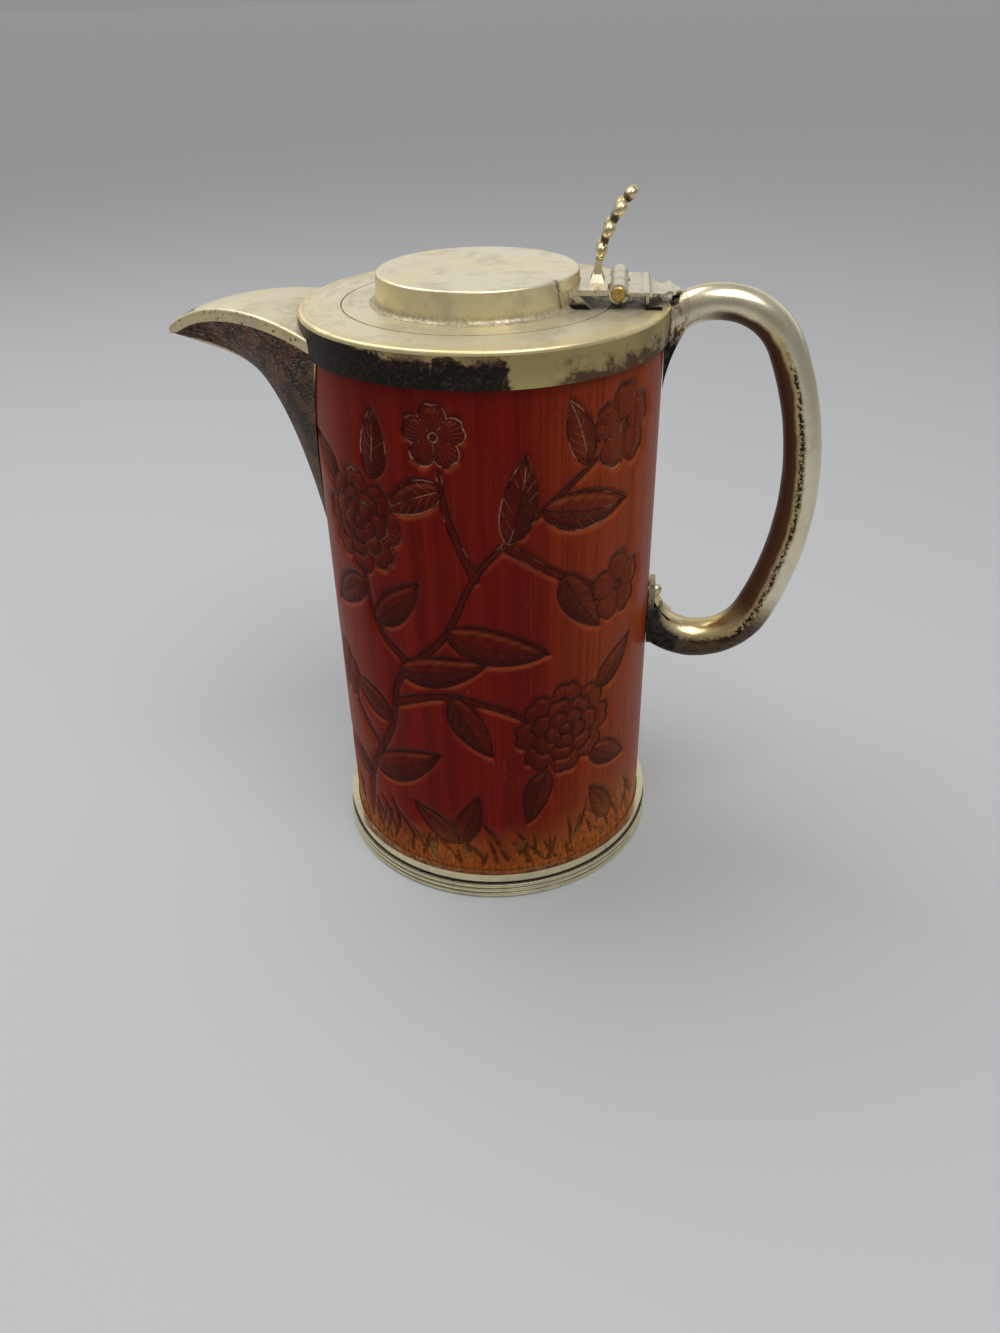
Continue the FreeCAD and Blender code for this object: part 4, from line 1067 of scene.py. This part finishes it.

# %% [markdown]
# ## The handle's finish
# Light catches the top and the outer side, which the palm keeps bright. Along each side runs a thin line of
# black pits that no cloth reaches. The inner side is painted brown, as a painted reflection of the bamboo,
# and the lower turn is olive gold above and darker below, as painted shade. The masks read `along` and
# `rim`, so these bands follow the bends.

# %% Mix the handle's finish
handle = Finish("handle_plate")
outer_share = parts_of(handle.attribute("rim"))[1] * -1
along_handle = parts_of(handle.attribute("along"))[0]
pit_noise = noise(handle.place, 0.9, 5.0, 0.7)
patch = noise(handle.place, 0.09, 3.0)
drifted = outer_share + (patch - 0.5) * 0.5
before_turn = along_handle.ramp(0.92, 0.80)
pit_line = (drifted + (pit_noise - 0.5) * 0.45).hump(-0.06, 0.24) * pit_noise.ramp(0.40, 0.54)
pit_line = pit_line * along_handle.ramp(0.16, 0.30) * before_turn
# Painted reflection: the inner side is painted brown, as the bamboo would mirror there.
painted_bamboo_reflection = drifted.ramp(-0.20, -0.46) * along_handle.ramp(0.0, 0.08) * along_handle.ramp(0.90, 0.78)
strip = drifted.hump(-0.16, 0.34) * along_handle.ramp(0.12, 0.28) * before_turn
low_turn = along_handle.ramp(0.74, 0.84)
lower_half = outer_share + along_handle.ramp(0.82, 0.94) * 0.38
# Painted shade under the lower turn.
painted_shade_under = (lower_half + (pit_noise - 0.5) * 0.5).ramp(-0.22, 0.14) * low_turn
wrinkle_dirt = noise(stretch(handle.place, (0.5, 1.6, 1.6)), 0.6, 4.0, 0.7).ramp(0.56, 0.70) * low_turn
dirt_and_painted_light = pit_line * 0.97 + strip * 0.30 + painted_bamboo_reflection * 0.97 + painted_shade_under * 0.92 + wrinkle_dirt * 0.5
inner_gold = drifted.ramp(0.15, -0.25) * along_handle.ramp(0.05, 0.25) * 0.6
handle_golden = (0.15 + low_turn * 0.6 + strip + inner_gold).clip()
handle_black = (pit_line + painted_shade_under * 0.6 + pit_noise.ramp(0.60, 0.75) * 0.3).clip()
handle_brown = (0.085, 0.030, 0.014)
olive_gold = (0.70, 0.54, 0.23)
handle_paint = silver(
    handle, dirt_and_painted_light.clip(), handle_golden, 0.16, handle_black, film=0.06, gold=olive_gold, brown=handle_brown
)
print("handle's finish of", len(handle.tree.nodes), "nodes")

# %% [markdown]
# ## From sweep to mesh
# The modifier gets its sizes by each socket's identifier, because names may repeat. The evaluated result
# becomes a plain mesh, which rides on the jug in place of the plain solid of the grip.

# %% Make the handle
modifier = handle_piece.modifiers.new("swept_tube", "NODES")
modifier.node_group = sweep
for name, (kind, value) in sweep_inputs.items():
    modifier[sockets[name].identifier] = handle_paint if name == "Finish" else value
depsgraph = bpy.context.evaluated_depsgraph_get()
handle_mesh = bpy.data.meshes.new_from_object(handle_piece.evaluated_get(depsgraph), depsgraph=depsgraph)
bpy.data.objects.remove(handle_piece)
handle_mesh.shade_smooth()
handle_mesh.set_sharp_from_angle(angle=math.radians(60))
handle_tube = add_object("handle_grip", handle_mesh)
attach(handle_tube, "jug")
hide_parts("handle_tube")
print("handle of", len(handle_mesh.polygons), "faces")

# %% [markdown]
# ## Ends of the handle
# Two solid ends join the tube to the body. The lower one is golden above and black, as painted shade, where
# it faces down and next to the body. The upper one runs into the collar: it is bright on top, streaked toward
# the body and dark below, as painted shade.

# %% Dress the handle's ends
foot_end = Finish("handle_foot_plate")
foot_noise = noise(foot_end.place, 0.5, 5.0, 0.7)
# Painted shade where the foot faces down and next to the body.
foot_slope = foot_end.facing[2] + (foot_noise - 0.5) * 0.4
foot_painted_shade = foot_slope.ramp(0.62, 0.28).max(foot_end.x.ramp(53.2, 52.2) * 0.7)
foot_tarnish_and_shade = (foot_painted_shade * 0.97 + foot_noise.ramp(0.5, 0.66) * 0.5).clip()
dress(silver(foot_end, foot_tarnish_and_shade, 0.75, 0.16, foot_painted_shade), "handle_foot")

root = Finish("handle_root_plate")
# Painted shade on the lower part of the root.
root_painted_shade = root.z.ramp(174, 166)
root_streaks = noise(stretch(root.place, (0.8, 1.4, 0.25)), 0.9, 4.0, 0.65)
root_tarnish_and_shade = (root_painted_shade * 0.95 + root_streaks.ramp(0.48, 0.60) * 0.8 * root.x.ramp(58, 54)).clip()
dress(silver(root, root_tarnish_and_shade, 0.3, 0.16, root_painted_shade), "handle_root")

# %% [markdown]
# ## Hinge
# The hinge is greyer than the rest, and its corners and the undersides of its knuckles are painted dark as
# painted shade. Height above the plate finds the corners, and the way a face looks finds the undersides of
# the knuckles.

# %% Dress the hinge
hinge = Finish("hinge_plate")
hinge_noise = noise(hinge.place, 0.55, 5.0, 0.7)
# Painted shade in the corners near the plate and under the knuckles.
painted_corner_shade = (hinge.z - plate_top).ramp(3.0, 0.8)
sides = hinge.facing[2].ramp(0.8, 0.2)
painted_under_shade = hinge.facing[2].ramp(0.15, -0.35)
dirt_and_painted_light = painted_corner_shade * 0.9 * sides + painted_under_shade * 0.8 + hinge_noise.ramp(0.52, 0.68) * (0.2 + 0.6 * sides)
hinge_paint = silver(hinge, dirt_and_painted_light.clip(), 0.10, 0.16, painted_corner_shade.max(painted_under_shade))
dress(hinge_paint, "hinge_fixed_leaf", "lid_hinge_leaf")

# %% [markdown]
# ## Thumbpiece
# The beads of the thumbpiece are golden on their rounds and black between them. The stem bends back in an
# arc, so the way along it is an angle times the bend's radius, and a wave along that way finds the
# crevices.

# %% Dress the thumbpiece
thumb = Finish("thumbpiece_plate")
stem_x, stem_foot, bend_radius = 31.3, 183.8, 33.3
first_bead, bead_spacing = 8.4, 5.7
lean = (thumb.z - stem_foot).maths("ARCTAN2", bend_radius + stem_x - thumb.x)
step_along = lean * bend_radius
crevice = ((step_along - first_bead) * (2 * math.pi / bead_spacing)).maths("COSINE")
thumb_noise = noise(thumb.place, 0.7, 4.0, 0.65)
between = (crevice + (thumb_noise - 0.5) * 0.8).ramp(-0.35, -0.95) * step_along.ramp(5.0, 7.0)
thumb_golden = (0.25 + 0.75 * step_along.ramp(5, 8)).clip()
# The stem is darker in lines on its faces that look sideways.
stem_lines = abs(thumb.facing[0]).ramp(0.35, 0.8) * step_along.ramp(6.5, 5.0)
thumb_darkening = (between * 0.9 + stem_lines * 0.6).clip()
dress(silver(thumb, thumb_darkening, thumb_golden, 0.16, between * 0.5), "thumbpiece")

# %% [markdown]
# ## Base ring
# The ring at the foot is reeded: its ridges are polished and its grooves are black. The ridges are in the
# solid, so the finish only needs the distance from the axis to tell a ridge from a groove.

# %% Dress the base ring
ring = Finish("base_ring_plate")
grooves = ring.around()[0].ramp(53.45, 53.10) * ring.z.ramp(0.2, 0.6) * ring.z.ramp(6.6, 6.2)
ring_noise = noise(ring.place, 0.5, 4.0, 0.65)
ring_tarnish = (grooves * 0.9 + 0.03 + ring_noise.ramp(0.58, 0.72) * 0.35).clip()
dress(silver(ring, ring_tarnish, 0.70, 0.10, grooves, gold=(0.86, 0.78, 0.46)), "base_ring")

# %% [markdown]
# ## Inside sheet, brass and rivet
# The liner, its sleeve and the plate under the foot are duller sheet that nobody polishes. The hinge pin
# and the washer are brass, because a harder pin would wear the knuckles. The rivet was plated with the
# handle.

# %% Dress the small pieces
dull = Finish("dull_sheet")
dull_noise = noise(dull.place, 0.12, 5.0, 0.65)
dull_paint = silver(dull, dull_noise.ramp(0.56, 0.70) * 0.35, dull_noise * 0.2, 0.42)
dress(dull_paint, "inner_liner", "pour_sleeve", "base_plate")

brass = Finish("worn_brass")
brass_noise = noise(brass.place, 0.8, 4.0, 0.65)
brass_paint = brass.set(
    Base_Color=mix(brass_noise.ramp(0.45, 0.7), (0.62, 0.43, 0.15), (0.30, 0.18, 0.06)),
    Metallic=1.0,
    Roughness=(0.22 + 0.2 * brass_noise).clip(),
    height=brass_noise * 0.01,
)
dress(brass_paint, "hinge_pin", "rivet_rove")

rivet = Finish("rivet_plate")
rivet_noise = noise(rivet.place, 0.7, 3.0)
dress(silver(rivet, rivet_noise.ramp(0.55, 0.7) * 0.5, 0.4, 0.2), "foot_rivet")
